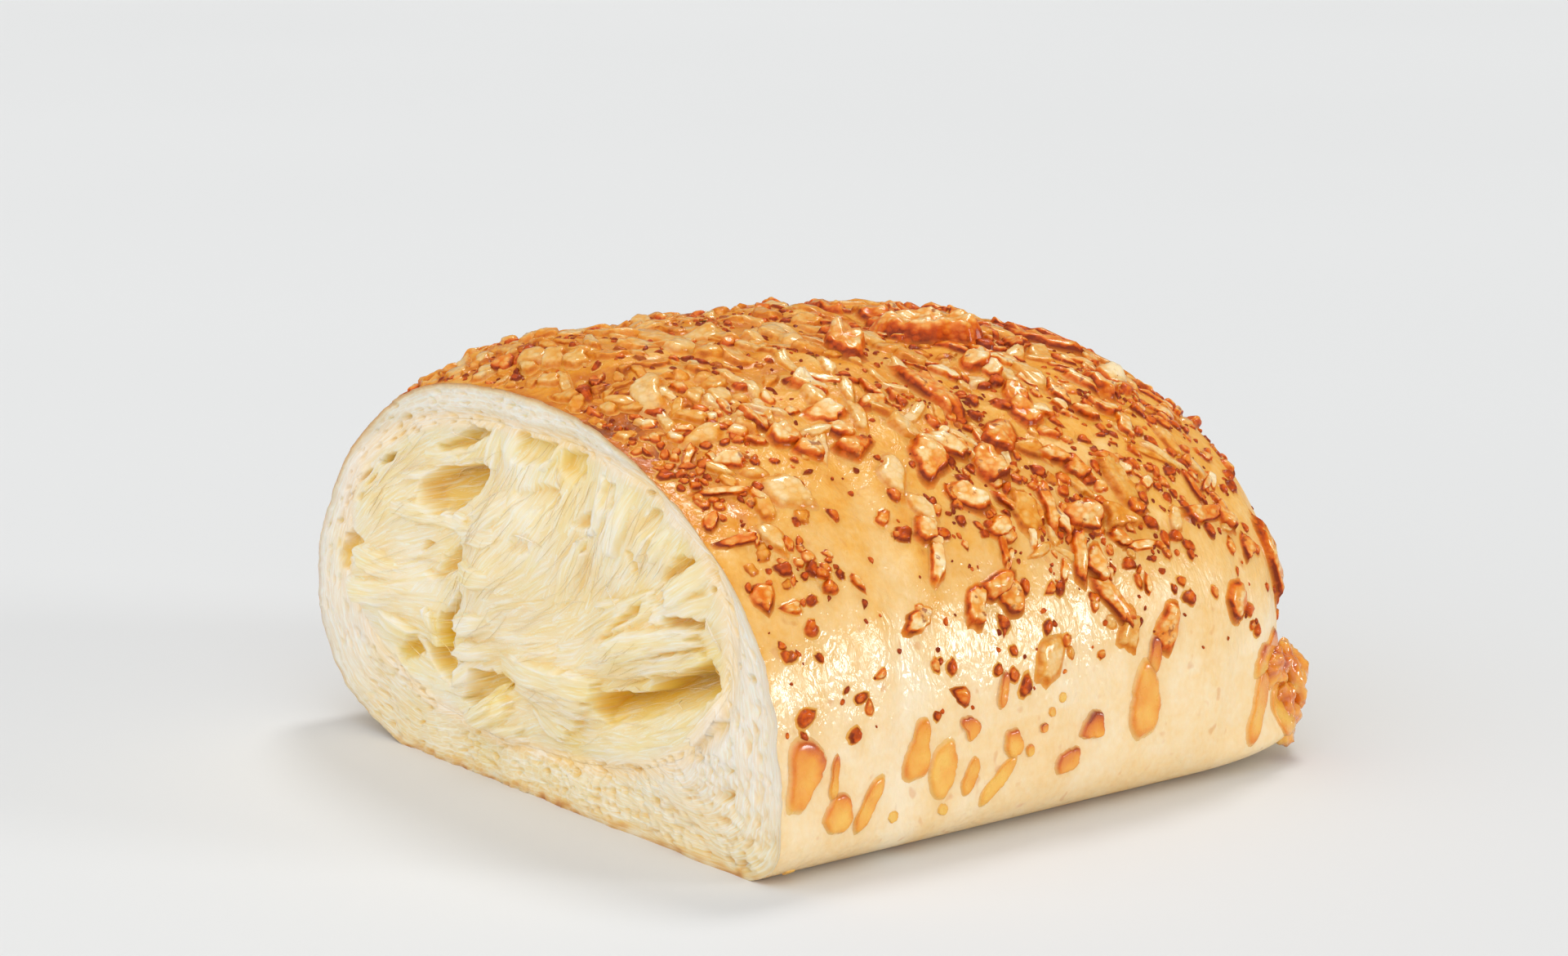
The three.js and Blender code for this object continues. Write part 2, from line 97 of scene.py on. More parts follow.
# Lumps of the pulled core on the cut: middle x and z, half length, half width, tilt in degrees, rise
LUMPS = [
    (-3, 27, 10, 5.5, 35, 1.8), (-7.5, 21, 5, 4, 70, 0.9), (-28, 17.5, 7.5, 4.4, 12, 1.3),
    (-25, 27, 8, 3.2, 12, 0.9), (13, 31, 6, 4, 70, 0.7), (17, 19.8, 11, 2.4, 24, 1.3),
    (2, 13.5, 9, 3, -8, 1.0), (-7.5, 6.5, 5, 2.6, 35, 1.2), (22, 30, 6, 3, 58, 0.7),
    (16, 8, 9, 2.4, 8, 0.5), (-4, 36, 2, 2.4, 60, 0.8), (-25, 8, 6, 2.4, -14, 0.6),
]
# Hollows torn between them: the way to the deep side in degrees, depth there and opposite, softness, outline
HOLLOWS = [
    (80, 8, 2.4, 0.7, [
        (-19.8, 31), (-17, 32.2), (-12, 33.1), (-8.6, 33.4), (-9, 31.8), (-12, 29.3), (-14.9, 26.9),
        (-18.3, 27.3), (-21.3, 29)]),
    (70, 3.4, 1.4, 0.8, [
        (-19.5, 34.3), (-16, 35.8), (-12.5, 37.2), (-8.3, 37.7), (-10.5, 35.9), (-13, 34.4), (-18, 33.4)]),
    (40, 4.5, 2, 0.5, [(-29.7, 30.5), (-27.7, 32.3), (-26, 33.1), (-26.7, 31.8), (-28.5, 30.2)]),
    (60, 5, 2, 0.7, [
        (-37.6, 17), (-37.4, 19.6), (-36, 21.7), (-34, 22.4), (-32, 21.2), (-33.8, 20.3), (-35.2, 18.8),
        (-35.6, 16.6)]),
    (65, 8, 2.2, 0.6, [
        (-20.8, 12.2), (-18.3, 12.8), (-18, 15.4), (-17.3, 16.3), (-16.6, 16.1), (-15.6, 17.6),
        (-14.1, 19.4), (-13.7, 18.9), (-14.7, 16.6), (-15.1, 15.4), (-14, 14.6), (-14.9, 13),
        (-14.3, 12.3), (-14.5, 10.2), (-15.8, 8.8), (-19.5, 10.2)]),
    (80, 3.4, 0.8, 0.8, [(-26.2, 11.2), (-22, 12.2), (-20.4, 11.2), (-22, 9.8), (-25.6, 9.8)]),
    (55, 5.5, 1.8, 0.6, [
        (-12, 11.4), (-7, 12), (-5.4, 11.7), (-3.7, 11.2), (-4.1, 10.2), (-6, 10.8), (-7.6, 9.4),
        (-8.8, 8.8), (-10, 6.9), (-13.8, 7.4), (-12.4, 9.2)]),
    (20, 3.6, 0.8, 0.9, [
        (-20.5, 20.2), (-16.5, 22.8), (-13.6, 25.3), (-13, 23.4), (-12.6, 21.8), (-14.8, 20.6),
        (-18.5, 19.4)]),
    (60, 2, 0.8, 0.6, [(-21.2, 22.3), (-20, 23.9), (-17.8, 24.1), (-19.6, 22.6)]),
    (108, 8.5, 0.2, 0.45, [
        (10, 11.5), (11.4, 13.3), (15, 14.2), (20, 16.1), (25, 18.2), (29.2, 20.2), (30.4, 19.4),
        (31, 17.6), (28.5, 15.4), (24, 13.6), (18, 11.8), (12.5, 10.1)]),
    (50, 2.6, 1, 0.6, [(30.8, 12.4), (31.2, 14.6), (33.2, 14.9), (33.1, 12), (32, 11.5)]),
    (45, 3, 0.5, 0.7, [(7, 30.3), (8.6, 31.8), (10.9, 32.3), (10.7, 30.9), (9, 29.5), (7.2, 29.6)]),
    (75, 2, 0.3, 1.4, [
        (-4, 32.4), (0, 33.7), (5.5, 33.8), (6.2, 32.4), (4.4, 30.6), (1, 29.4), (-2.5, 29.8)]),
    (90, 1.3, 0.5, 1, [(-2.6, 27.6), (0.6, 27.8), (1.1, 26.2), (-0.6, 25.3), (-2.7, 25.7)]),
    (90, 1.8, 0.8, 0.9, [(4, 34.8), (4.8, 37.7), (9, 37.5), (8.8, 34.5), (6.5, 34.1)]),
    (90, 1.9, 0.8, 0.9, [(-3.6, 35), (-3, 38), (3.6, 38), (3.2, 36), (1.4, 35)]),
    (-20, 2.6, 1, 0.8, [(21.6, 27.2), (24, 29.8), (26.6, 31), (26.3, 29.3), (24.4, 27.4), (22.4, 26.4)]),
    (30, 2.4, 1, 0.8, [(12.2, 19.4), (16, 22.6), (19.8, 24.9), (19.6, 23.2), (16.5, 21), (13.5, 18.9)]),
    (100, 2.8, 1, 0.5, [(23.4, 23.2), (26, 24.1), (29.4, 24.3), (28.8, 23.2), (25.4, 22.5), (23.6, 22.5)]),
    (40, 1.6, 0.6, 0.8, [(15.4, 28.6), (17, 29.5), (17.8, 27.8), (18.2, 26.5), (16.2, 26.2)]),
    (80, 1.2, 0.4, 0.9, [(11.2, 33), (12.4, 35.6), (14.8, 35.8), (14, 33), (12.4, 31)]),
    (70, 1.2, 0.4, 0.9, [(18.4, 31.4), (19.6, 34), (22, 34), (21.4, 31.6), (19.6, 29.8)]),
]
# Places where melted cheese soaked the crumb yellow: x, z, reach, strength
GOLD_SPOTS = [
    (-16.8, 13.6, 3.4, 1), (-23.5, 11, 2.6, 0.9), (-28.5, 9.6, 3.2, 0.45), (-22, 5.4, 3, 0.4),
    (-9.5, 3.6, 2.6, 0.5), (-5.5, 10.8, 2.2, 0.8), (12, 12.4, 3, 0.6), (18, 14.4, 3.4, 0.5),
    (28.5, 18.8, 2.8, 0.8), (6, 6.8, 3, 0.45), (19, 24, 1.8, 0.6), (25, 29.4, 2, 0.5), (0.5, 36.6, 3, 0.3),
    (6.5, 36, 2.4, 0.3), (2, 31.8, 3.4, 0.3), (-36, 19.4, 2.2, 0.9), (-16, 22.8, 3, 0.35),
    (20, 7.6, 2, 0.25), (-32, 15.6, 3, 0.2), (-1, 23.5, 2.4, 0.3), (15, 21, 2.6, 0.5),
]

# The way the pulled fibres run on the cut: x, z, degrees from the horizontal, reach
FLOW = [
    (-3, 34, 80, 6), (6, 34, 82, 6), (14, 33, 72, 6), (21, 31, 60, 6), (27, 27, 48, 5), (5, 27, 50, 7),
    (12, 26, 62, 7), (20, 25, 40, 6), (26, 22, 22, 5), (15, 18, 24, 7), (23, 18, 24, 6), (5, 16, 16, 7),
    (-4, 17, 10, 6), (-8, 13, 6, 4), (10, 12, 22, 6), (22, 12, 22, 6), (30, 14, 52, 5), (33, 19, 80, 5),
    (-8, 27, 42, 6), (-11, 21, 50, 5), (-13, 17, 70, 4), (-22, 25, 16, 7), (-28, 31, 42, 6), (-33, 25, 50, 5),
    (-30, 17, 8, 6), (-24, 9, -14, 7), (-14, 6, 20, 6), (-6, 7, 42, 4), (4, 7, 12, 6), (-18, 36, 24, 6),
    (-1, 29, 34, 6), (4, 10, -30, 4), (16, 6, 6, 6), (-17, 29, 12, 5),
]

# Bundles of fibre that cover the cut, and sheets of them that stand off it with a ragged free end
BUNDLES = {"count": 560, "half_length": (4, 9), "half_width": (0.4, 1.2), "turn": 4, "step": 0.05,
           "groove": 0.035, "groove_width": 0.7, "rise": 0.03, "window": 1.35, "far": 9.0}
STRAND = {"width": 0.34, "run": 6.0, "bend": 0.012, "sway": 0.16, "sway_along": 2.5, "sway_across": 1.5}
SHEETS = {"count": 10, "length": (5, 11), "half_width": (0.8, 2.2), "lift": (0.1, 0.3), "turn": 6,
          "turned_back": 0.45, "rise": 0.035, "stand": 0.8}
# A sheet's form against its length and half width: where it has risen, how it narrows, how its torn end
# fringes and softens, and how it folds
SHEET_FORM = {"risen": 0.55, "least_width": 0.4, "narrows": (0.1, 0.72), "uneven": 0.14, "uneven_size": 1.1,
              "fringe": [(0.8, 0.5, 41), (0.4, 0.18, 45)], "fringe_most": 1.0, "fringe_share": 0.12,
              "soft_end": 0.35, "soft_side": 0.7, "folds": 0.25, "fold_size": (1.3, 6), "least": 0.08,
              "window": 0.62}
PULLED_AREA = {"x": (-36, 33), "z": (4.5, 39), "share": 0.97}
# Sheets that stand out in their own place: root, far end, half width, lift, bend
PLACED_SHEETS = [
    ((-8, 13.4), (12.4, 13.9), 1.7, 1.5, -0.006), ((-5, 11.6), (10.6, 12.3), 1.6, 1.2, -0.012),
    ((-3, 12), (8.6, 9.6), 1.8, 1.0, -0.014), ((-1, 10), (5.6, 7.4), 1.5, 0.8, -0.012),
    ((5, 13.8), (29.6, 20.6), 1.2, 1.1, 0.0), ((8, 16), (28.4, 22.6), 1.5, 1.7, 0.004),
    ((12, 16.6), (23.5, 20.6), 0.7, 2.1, 0.0), ((7, 17.8), (22.4, 25.2), 1.5, 1.0, 0.004),
    ((33.4, 18.4), (27.2, 11.8), 1.1, 1.7, 0.02), ((30, 30.4), (22.8, 25.1), 1.5, 1.4, 0.012),
    ((21.4, 34), (17.6, 28.2), 0.8, 0.9, 0.0), ((24, 32.6), (20.6, 28.8), 0.8, 0.8, 0.0),
    ((30.4, 26.6), (20.8, 23), 1.1, 0.8, 0.0), ((-15, 3.4), (-3.2, 9.8), 1.7, 1.3, 0.0),
    ((-12.6, 5.4), (-5.2, 9), 0.9, 1.8, 0.0), ((-10, 3.4), (-1.4, 6.4), 1.4, 0.9, 0.0),
    ((-3, 31.4), (-10.4, 26.9), 1.7, 1.2, 0.0), ((-4, 27), (-14.2, 25.4), 1.4, 1.0, 0.0),
    ((-5, 22), (-13.6, 21.6), 1.5, 1.0, 0.0), ((-7, 17.2), (-14.4, 15.2), 1.2, 1.1, 0.0),
    ((-7, 14), (-14.6, 12.4), 1.1, 1.0, 0.0), ((-9.6, 12.6), (-15.6, 8.8), 1.2, 0.9, 0.0),
    ((-26, 29.6), (-16.8, 31.5), 0.5, 0.8, 0.0), ((-27, 26.4), (-12, 26.6), 1.2, 0.8, 0.004),
    ((-24, 17), (-37, 15.6), 1.7, 1.2, 0.0), ((-24, 19.6), (-33.4, 20.2), 1.4, 1.0, 0.0),
    ((-29, 14), (-21.8, 12.6), 1.3, 1.1, 0.0), ((4.8, 38), (2, 34.8), 0.5, 0.9, 0.0),
    ((13.6, 36.6), (10.6, 29), 0.9, 0.8, 0.0), ((17.4, 36), (13.4, 27.4), 1.0, 0.8, 0.0),
    ((-6.8, 38), (-8.4, 33.2), 1.3, 0.9, 0.0), ((9.2, 22), (15.4, 23.4), 0.5, 0.8, 0.0),
    ((3, 20), (9.4, 29), 1.2, 0.8, 0.01), ((-18.6, 12.4), (-19.6, 16.4), 0.7, 0.9, 0.0),
]
# Hairs that bridge or curl: both ends, how far they stand off, thickness
PLACED_HAIRS = [
    ((27.8, 17.2), (30.4, 20), 0.4, 0.16), ((24.6, 18.6), (26.1, 17.6), 0.5, 0.11),
    ((17, 15.1), (18.2, 14.3), 0.4, 0.1), ((-15.2, 36.4), (-13.2, 35.2), 1.6, 0.15),
    ((-19.2, 30.2), (-17, 31.7), 0.7, 0.16), ((22.6, 14.6), (24, 14.2), 0.5, 0.1),
    ((-6.4, 11), (-4.6, 10.2), 0.5, 0.1), ((-16, 15), (-14.6, 12.8), 0.7, 0.1),
    ((29, 24.4), (31, 21.6), 0.5, 0.14), ((-1.6, 27.6), (2.6, 27), 0.6, 0.14),
    ((4.2, 35.4), (5.2, 33.6), 0.5, 0.16), ((12.2, 24.6), (15.4, 23), 0.4, 0.12),
]
# Loose fibres that stand off the torn core, strewn among the placed hairs
STRANDS = {"count": 320, "length": (3, 8), "radius": (0.025, 0.06), "steps": 8, "sides": 3, "arch": 0.16,
           "turn": 0.09, "curl": 0.03, "clear": 0.06, "bow": 0.12, "share": 0.95, "deep": 0.3}
STRANDS_AREA = {"x": (-35, 32), "z": (5, 38), "share": 0.93}
# Size of the warmer and whiter clouds of the core
WARM_SIZE = 7
# Reach of the blur that tells cavities, and the depths at which the painted shade of cavities and of hollows
# is at its darkest
CAVITY_SHADE = {"reach": 0.9, "depth": 0.5, "hollow": 7}
# Browned skin of the cut: in from the crust, more above, and in spots along the base; then how high the low
# crumb's yellow reaches, and how wide the seam between core and rim is
SKIN = {"reach": 1.0, "least": 0.25, "more": 0.55, "above": (16, 34), "base": (1.8, 0.2), "base_share": 0.55,
        "spots": 0.45, "spot_size": (1.6, 0.7), "low": (11, 1), "seam": 0.045}
# Pores of the rim and of its low right: region, count, half length, half width against it, depth
PORES = [
    ("rim", 420, (0.2, 0.8), (0.2, 0.42), (0.15, 0.5)),
    ("low", 420, (0.16, 0.6), (0.35, 0.7), (0.15, 0.5)),
]
# Where they may lie: by place, away from the crust in millimetres and from the core by share
PORE_AREA = {"x": (-42, 42), "z": (0.8, 42), "from_crust": 0.7, "from_core": 0.97, "low": (4, 11),
             "turn": 0.2}
PORE_FORM = {"placed": {"reach": 2, "steepness": 4}, "strewn": {"reach": 1.6, "steepness": 3.5}}
# Pores that stand out: x, z, half length, half width, degrees, depth
PLACED_PORES = [
    (30.1, 27.5, 0.4, 0.3, 20, 1.4), (35, 21, 0.4, 0.22, 30, 1.2), (37.3, 20.2, 0.5, 0.4, 10, 1.5),
    (19.6, 35.3, 0.5, 0.2, 0, 1), (32.8, 7.5, 1.2, 0.45, 35, 1.4), (33.4, 10.2, 0.5, 0.3, 20, 1),
    (28.2, 10.3, 0.7, 0.35, 10, 1.1), (31.8, 11.1, 0.4, 0.25, 10, 0.9), (35.6, 1.4, 0.8, 0.3, 30, 1.2),
    (33.6, 1.3, 0.6, 0.3, 10, 1.1), (2.2, 3.1, 0.5, 0.28, 0, 0.9), (36.6, 3.6, 0.9, 0.3, 50, 0.8),
    (34.4, 3.7, 0.5, 0.2, 30, 0.7), (32.4, 5, 1.4, 0.35, 5, 0.7), (-23.8, 36.5, 0.7, 0.25, 25, 1),
    (-25.4, 37.6, 0.7, 0.3, 30, 0.9), (-22, 35.2, 0.6, 0.2, 20, 0.8), (-32, 28.7, 1.4, 0.22, 38, 1),
    (-30.4, 28.6, 1.2, 0.2, 38, 0.9), (-34.8, 26, 0.6, 0.25, 40, 1), (-32.4, 26.4, 0.8, 0.3, 35, 0.8),
    (-37.4, 22.8, 0.6, 0.25, 20, 0.8), (-36, 25, 0.5, 0.2, 45, 0.8), (25.6, 8.2, 0.6, 0.2, 5, 0.7),
    (16, 4.4, 1.4, 0.25, 0, 0.5), (24, 4, 1.2, 0.3, 10, 0.5), (38.4, 9, 1.1, 0.5, 70, 0.6),
    (36.6, 13.6, 1.2, 0.5, 75, 0.7), (34.8, 15.6, 0.9, 0.4, 80, 0.7), (38, 17.4, 0.9, 0.35, 75, 0.6),
    (33.6, 12.6, 1.1, 0.3, 85, 0.6),
]

# Flakes of baked cheese that stand out, by place behind the cut, angle round the roll, turn from the roll's
# length, length, width and height
PLACED_FLAKES = [
    (47.2, 68, -38, 12.5, 7, 2.4), (33.9, 64, 75, 6, 4, 3.2), (22.5, 46, 82, 14, 3.2, 1.6),
    (29.2, 34, 70, 5, 4, 1.6), (24, 33, 60, 4.5, 2.6, 1.3), (39.6, 36, 35, 5.5, 3.2, 1.5),
    (62, 51, 60, 6, 3, 1.6), (24.4, 26, 70, 5.5, 2.3, 1.4), (28, 15, 20, 7, 2.4, 1.3),
    (31.3, 14, 60, 3.6, 3, 0.9), (19.1, 14, 30, 2.8, 2, 1), (2.6, 21, 20, 2.6, 2.2, 0.9),
    (34.7, 6, 60, 4.4, 2.8, 1), (45.6, 7, 80, 4, 2.2, 1.1), (50.7, 6.5, 75, 5, 2.2, 1.1),
    (61.7, 8, 80, 3.8, 3.2, 1), (60.2, 21, 5, 5.4, 1.6, 1), (66.1, 16, 70, 3.2, 1.4, 0.8),
]
# The drops of the solids, which keep the strewn pieces off: place, angle, length
MELTED_DROPS = [
    (47.2, -2, 8), (48.6, 3.4, 4.4), (2.9, -0.5, 6), (7, -6, 4), (10.5, -6, 4.6), (17.6, -0.8, 6.6),
    (20.4, -4.2, 5.4), (23.7, 0, 2.6), (29.3, -3, 3), (36.9, -7, 3.4), (40.3, -3.6, 3.6), (28, 4, 4.6),
]
# Outlines of the drops and of thin flat spots between them: place, angle, height, how browned, and corners
# in millimetres along the roll and down the flank
DRIPS = [
    (47.2, -2, 0.7, 0.3, [
        (-0.5, -5.4), (0.5, -5.2), (0.7, -3.4), (1.9, -1.6), (2.2, 1.2), (1.4, 3.3), (0, 3.9), (-1.4, 3.4),
        (-1.9, 1.8), (-1.5, -1), (-0.7, -3)]),
    (48.6, 3.4, 0.6, 0.62, [(-0.1, -2.2), (0.9, -2), (0.8, 0.4), (0.1, 2), (-0.7, 2), (-0.9, 0.6)]),
    (2.9, -0.5, 0.75, 0.4, [
        (-1.6, -3), (-0.2, -3.4), (2.1, -2.7), (2.5, -0.6), (1.6, 1.2), (0.5, 1.8), (0.2, 3.5),
        (-1.2, 3.6), (-2.1, 3.1), (-1.8, 0.4)]),
    (7, -6, 0.6, 0.34, [
        (-0.6, -1.9), (0.8, -2), (1.7, -0.9), (2.1, 0.9), (0.9, 2), (-0.8, 1.9), (-2, 0.6)]),
    (6.6, -1.6, 0.4, 0.4, [(0.1, -3), (0.7, -2.8), (0.4, 0), (0.1, 2.9), (-0.8, 2.8), (-0.3, 0)]),
    (10.5, -6, 0.5, 0.3, [
        (2.3, -3.2), (3, -2.6), (1.8, -0.4), (0.6, 1.6), (-0.9, 2.8), (-1.6, 2), (-0.6, 0.2),
        (0.6, -1.8)]),
    (17.6, -0.8, 0.5, 0.26, [
        (0.1, -3.5), (1.3, -3.3), (0.9, -1), (1.3, 2.9), (-0.6, 3.4), (-2.4, 3.1), (-1.4, 0.6),
        (-0.5, -1.4)]),
    (20.4, -4.2, 0.5, 0.16, [
        (-0.8, -2.6), (1.4, -3), (1.9, -0.6), (1.4, 1.9), (0.2, 3), (-1.2, 2.4), (-1.7, 0.2)]),
    (23.7, 0, 0.5, 0.45, [(-1.5, -1.2), (0, -1.4), (1.5, -0.4), (0.8, 0.9), (0, 1.5), (-0.4, 0.2)]),
    (29.3, -3, 0.6, 0.42, [(-1, -1.4), (0.5, -1.5), (1.2, 0.2), (0.9, 1.4), (-0.3, 1.5), (-1.1, 0.4)]),
    (36.9, -7, 0.6, 0.5, [(-1.6, -0.9), (0.2, -1.2), (1.9, -1), (1.6, 1), (0, 1.2), (-1.7, 1)]),
    (40.3, -3.6, 0.8, 0.6, [(0.2, -1.8), (1, -1.4), (1.4, 1), (0.6, 1.3), (-1.6, 0.9), (-1.8, 0.1)]),
    (28, 4, 0.6, 0.55, [(0.6, -2.4), (1, -1.6), (0.6, 0.6), (-0.2, 2.4), (-0.9, 2.5), (-0.2, 0.2)]),
    (24, -5.6, 0.35, 0.24, [(0.2, -2), (1.3, -1.4), (0.7, 0.8), (-0.2, 2), (-1.4, 1.7), (-0.6, -0.6)]),
    (27.2, -6.8, 0.35, 0.14, [
        (2.4, -2.6), (3.2, -2.3), (1.6, 0.2), (-0.8, 2.4), (-2.6, 2.9), (-1.6, 1), (0.4, -0.8)]),
    (31.4, -4.4, 0.4, 0.4, [(-0.5, -0.6), (0.4, -0.7), (0.6, 0.3), (-0.2, 0.7)]),
    (33.2, -2, 0.4, 0.6, [(-0.5, -0.4), (0.5, -0.5), (0.5, 0.4), (-0.3, 0.5)]),
    (14.6, -8.6, 0.25, 0.05, [(-0.8, -0.4), (0.5, -0.6), (0.8, 0.3), (-0.4, 0.6)]),
    (20.6, -9, 0.25, 0.05, [(-0.6, -0.7), (0.6, -0.4), (0.7, 0.6), (-0.5, 0.5)]),
    (3, -13, 0.25, 0.05, [(-0.6, -0.5), (0.6, -0.6), (0.6, 0.5), (-0.5, 0.6)]),
    (36, 1, 0.25, 0.1, [(-0.5, -0.5), (0.5, -0.4), (0.4, 0.5), (-0.5, 0.4)]),
    (34.4, -0.4, 0.25, 0.08, [(-0.4, -0.6), (0.4, -0.4), (0.5, 0.5), (-0.4, 0.4)]),
    (67, -2.5, 0.5, 0.4, [
        (-3.1, 1.6), (-2.2, -1), (-0.8, -2.4), (0.6, -1.4), (2, -3.4), (3.6, -3), (4, 0.4), (2.6, 2.6),
        (0.8, 1), (-1, 0.8)]),
    (65.2, -8, 0.5, 0.3, [
        (1.2, -3.8), (2.2, -2), (0.9, 1.2), (-0.4, 3), (-2.6, 4.8), (-3.2, 4.2), (-1.7, 1), (-0.8, -1.6),
        (0.2, -3.6)]),
    (68.6, -12, 0.5, 0.25, [(-1, -3), (1.4, -3.6), (3, -1), (2.4, 3), (0.8, 3.8), (-0.6, 1)]),
    (1.4, 169.8, 0.9, 0.2, [(-1, -0.9), (0.8, -1), (1, 0.7), (-0.4, 1.1)]),
    (1.3, 176.7, 1.0, 0.16, [(-0.9, -0.7), (0.7, -0.8), (0.8, 0.6), (-0.6, 0.8)]),
    (1.3, 160.5, 0.6, 0.3, [(-0.9, -0.8), (0.7, -0.9), (0.9, 0.6), (-0.5, 0.9)]),
    (1.2, 184, 0.4, 0.3, [(-0.8, -0.4), (0.7, -0.5), (0.6, 0.4), (-0.5, 0.5)]),
    (1.4, 201.3, 0.9, 0.05, [(-1, -0.8), (0.8, -0.9), (0.9, 0.7), (-0.7, 0.9)]),
]
# Pieces strewn as on the solids: count, least and greatest length, width and height against length, turn;
# then where they lie, how often one is tried, how near they may lie to each other and to the cut
STREWN_CHEESE = [(38, (6, 10), 0.3, 0.19, 50), (38, (4, 6), 0.55, 0.3, 80), (34, (2.4, 3.8), 0.72, 0.42, 90)]
STREWN_AREA = {"y": (2, 72), "degrees": (8, 168)}
STREWN_SEED = 8123
STREAM = {"factor": 16807, "modulus": 2147483647}
STREWN_TRIES = 6000
STREWN_SPACE = 0.62
CUT_MARGIN = 0.6

# Finer pieces that only the look has, by kind: how many, their length, their width and height against it,
# how near they may lie, and the share that strays beyond the cover
FINE_CHEESE = {
    "shreds": (150, (2.4, 5.2), (0.22, 0.36), (0.16, 0.26), 0.34, 0.0),
    "chips": (270, (1.8, 3.6), (0.38, 0.66), (0.26, 0.42), 0.42, 0.0),
    "granules": (480, (0.9, 2), (0.6, 0.95), (0.32, 0.5), 0.5, 0.03),
    "beads": (450, (0.8, 1.8), (0.6, 0.95), (0.26, 0.4), 0.56, 0.05),
    "specks": (1450, (0.3, 0.8), (0.6, 1), (0.3, 0.5), 0.5, 0.05),
}
FINE_AREA = {"y": (1, 76), "degrees": (2, 174), "from_cut": 0.3, "turn": 42}
# The outline of a piece: how far out its straight edges lie, and how fine its waves are
OUTLINE = {"distance": (0.84, 1.08), "waves": 2.4}
# The places behind the cut that the points of all pieces keep between
ON_CRUST = (0.05, LENGTH - 0.1)
# Golden melted pieces are more common near the cut and on the ridge: places and angles between which, share
MELTED_MORE = {"y": (60, 24), "degrees": (44, 60), "share": 0.6}
# Gaps between the clusters: their size, the share halfway, and how sharply it changes
CLUSTERS = {"size": 8, "middle": 0.62, "contrast": 1.1}
# Long shreds that broke into chips as they browned: share of them, length of a chip, how much longer than
# its share each is, turn, and the spread of lengths, widths and heights
BROKEN = {"share": 0.72, "length": 2.9, "overlap": 1.15, "turn": 24, "lengths": (0.85, 1.1),
          "widths": (0.75, 1.1), "heights": (0.7, 1.0)}
# Where beads of browned cheese lie: place, reach along, angle, reach round, share
BEAD_PATCHES = [(47, 14, 26, 9, 1), (34, 8, 40, 9, 0.7), (6, 7, 24, 8, 0.5), (58, 9, 32, 12, 0.6),
                (46, 16, 152, 10, 0.8), (5, 6, 44, 13, 1)]
# Where the finer pieces lie thick though the solids have few
FINE_PATCHES = [(5, 6, 45, 14, 0.8)]
FINE_SEED = 4711

# Where grated cheese lies thick
RIDGE_COVER = {"middle": 86, "full": 40, "none": 62, "share": 0.7, "thins": (60, 72), "left": 0.25}
COVER_PATCHES = [(45, 16, 26, 11, 1), (38, 18, 148, 12, 1), (2, 7, 31, 8, 0.8), (4, 9, 96, 34, 1)]
BARE_SEAM = {"y": 17, "along": 6, "share": 0.85, "below": (34, 46)}

# The lump of cheese on the corner of the far end: balls by middle and half sizes
TIP_LUMP = [((35.2, 73.6, 7.8), (2.9, 2.9, 4.0)), ((37.2, 71.2, 5.2), (2.4, 2.6, 3.8)),
            ((38.6, 68.2, 10.6), (1.5, 3.2, 2.4))]
# Their fineness, swells, crags and patches of browning
LUMP_FORM = {"fineness": 5, "swell": 0.22, "swell_waves": 2.2, "crags": 0.95, "crag_size": 1.3,
             "toast_size": 1.8}

# Mesh fineness
CRUST_MESH = {"around": 440, "straight": 52, "end": 108, "tip": 0.35}
RIM_MESH = {"around": 1100, "across": 34}
FILLING_MESH = {"across": 400, "upright": 200}
OUTLINE_STEPS = 2880
FACE_GRID = {"x": (-45, 45), "z": (-2, 47), "cell": 0.11}
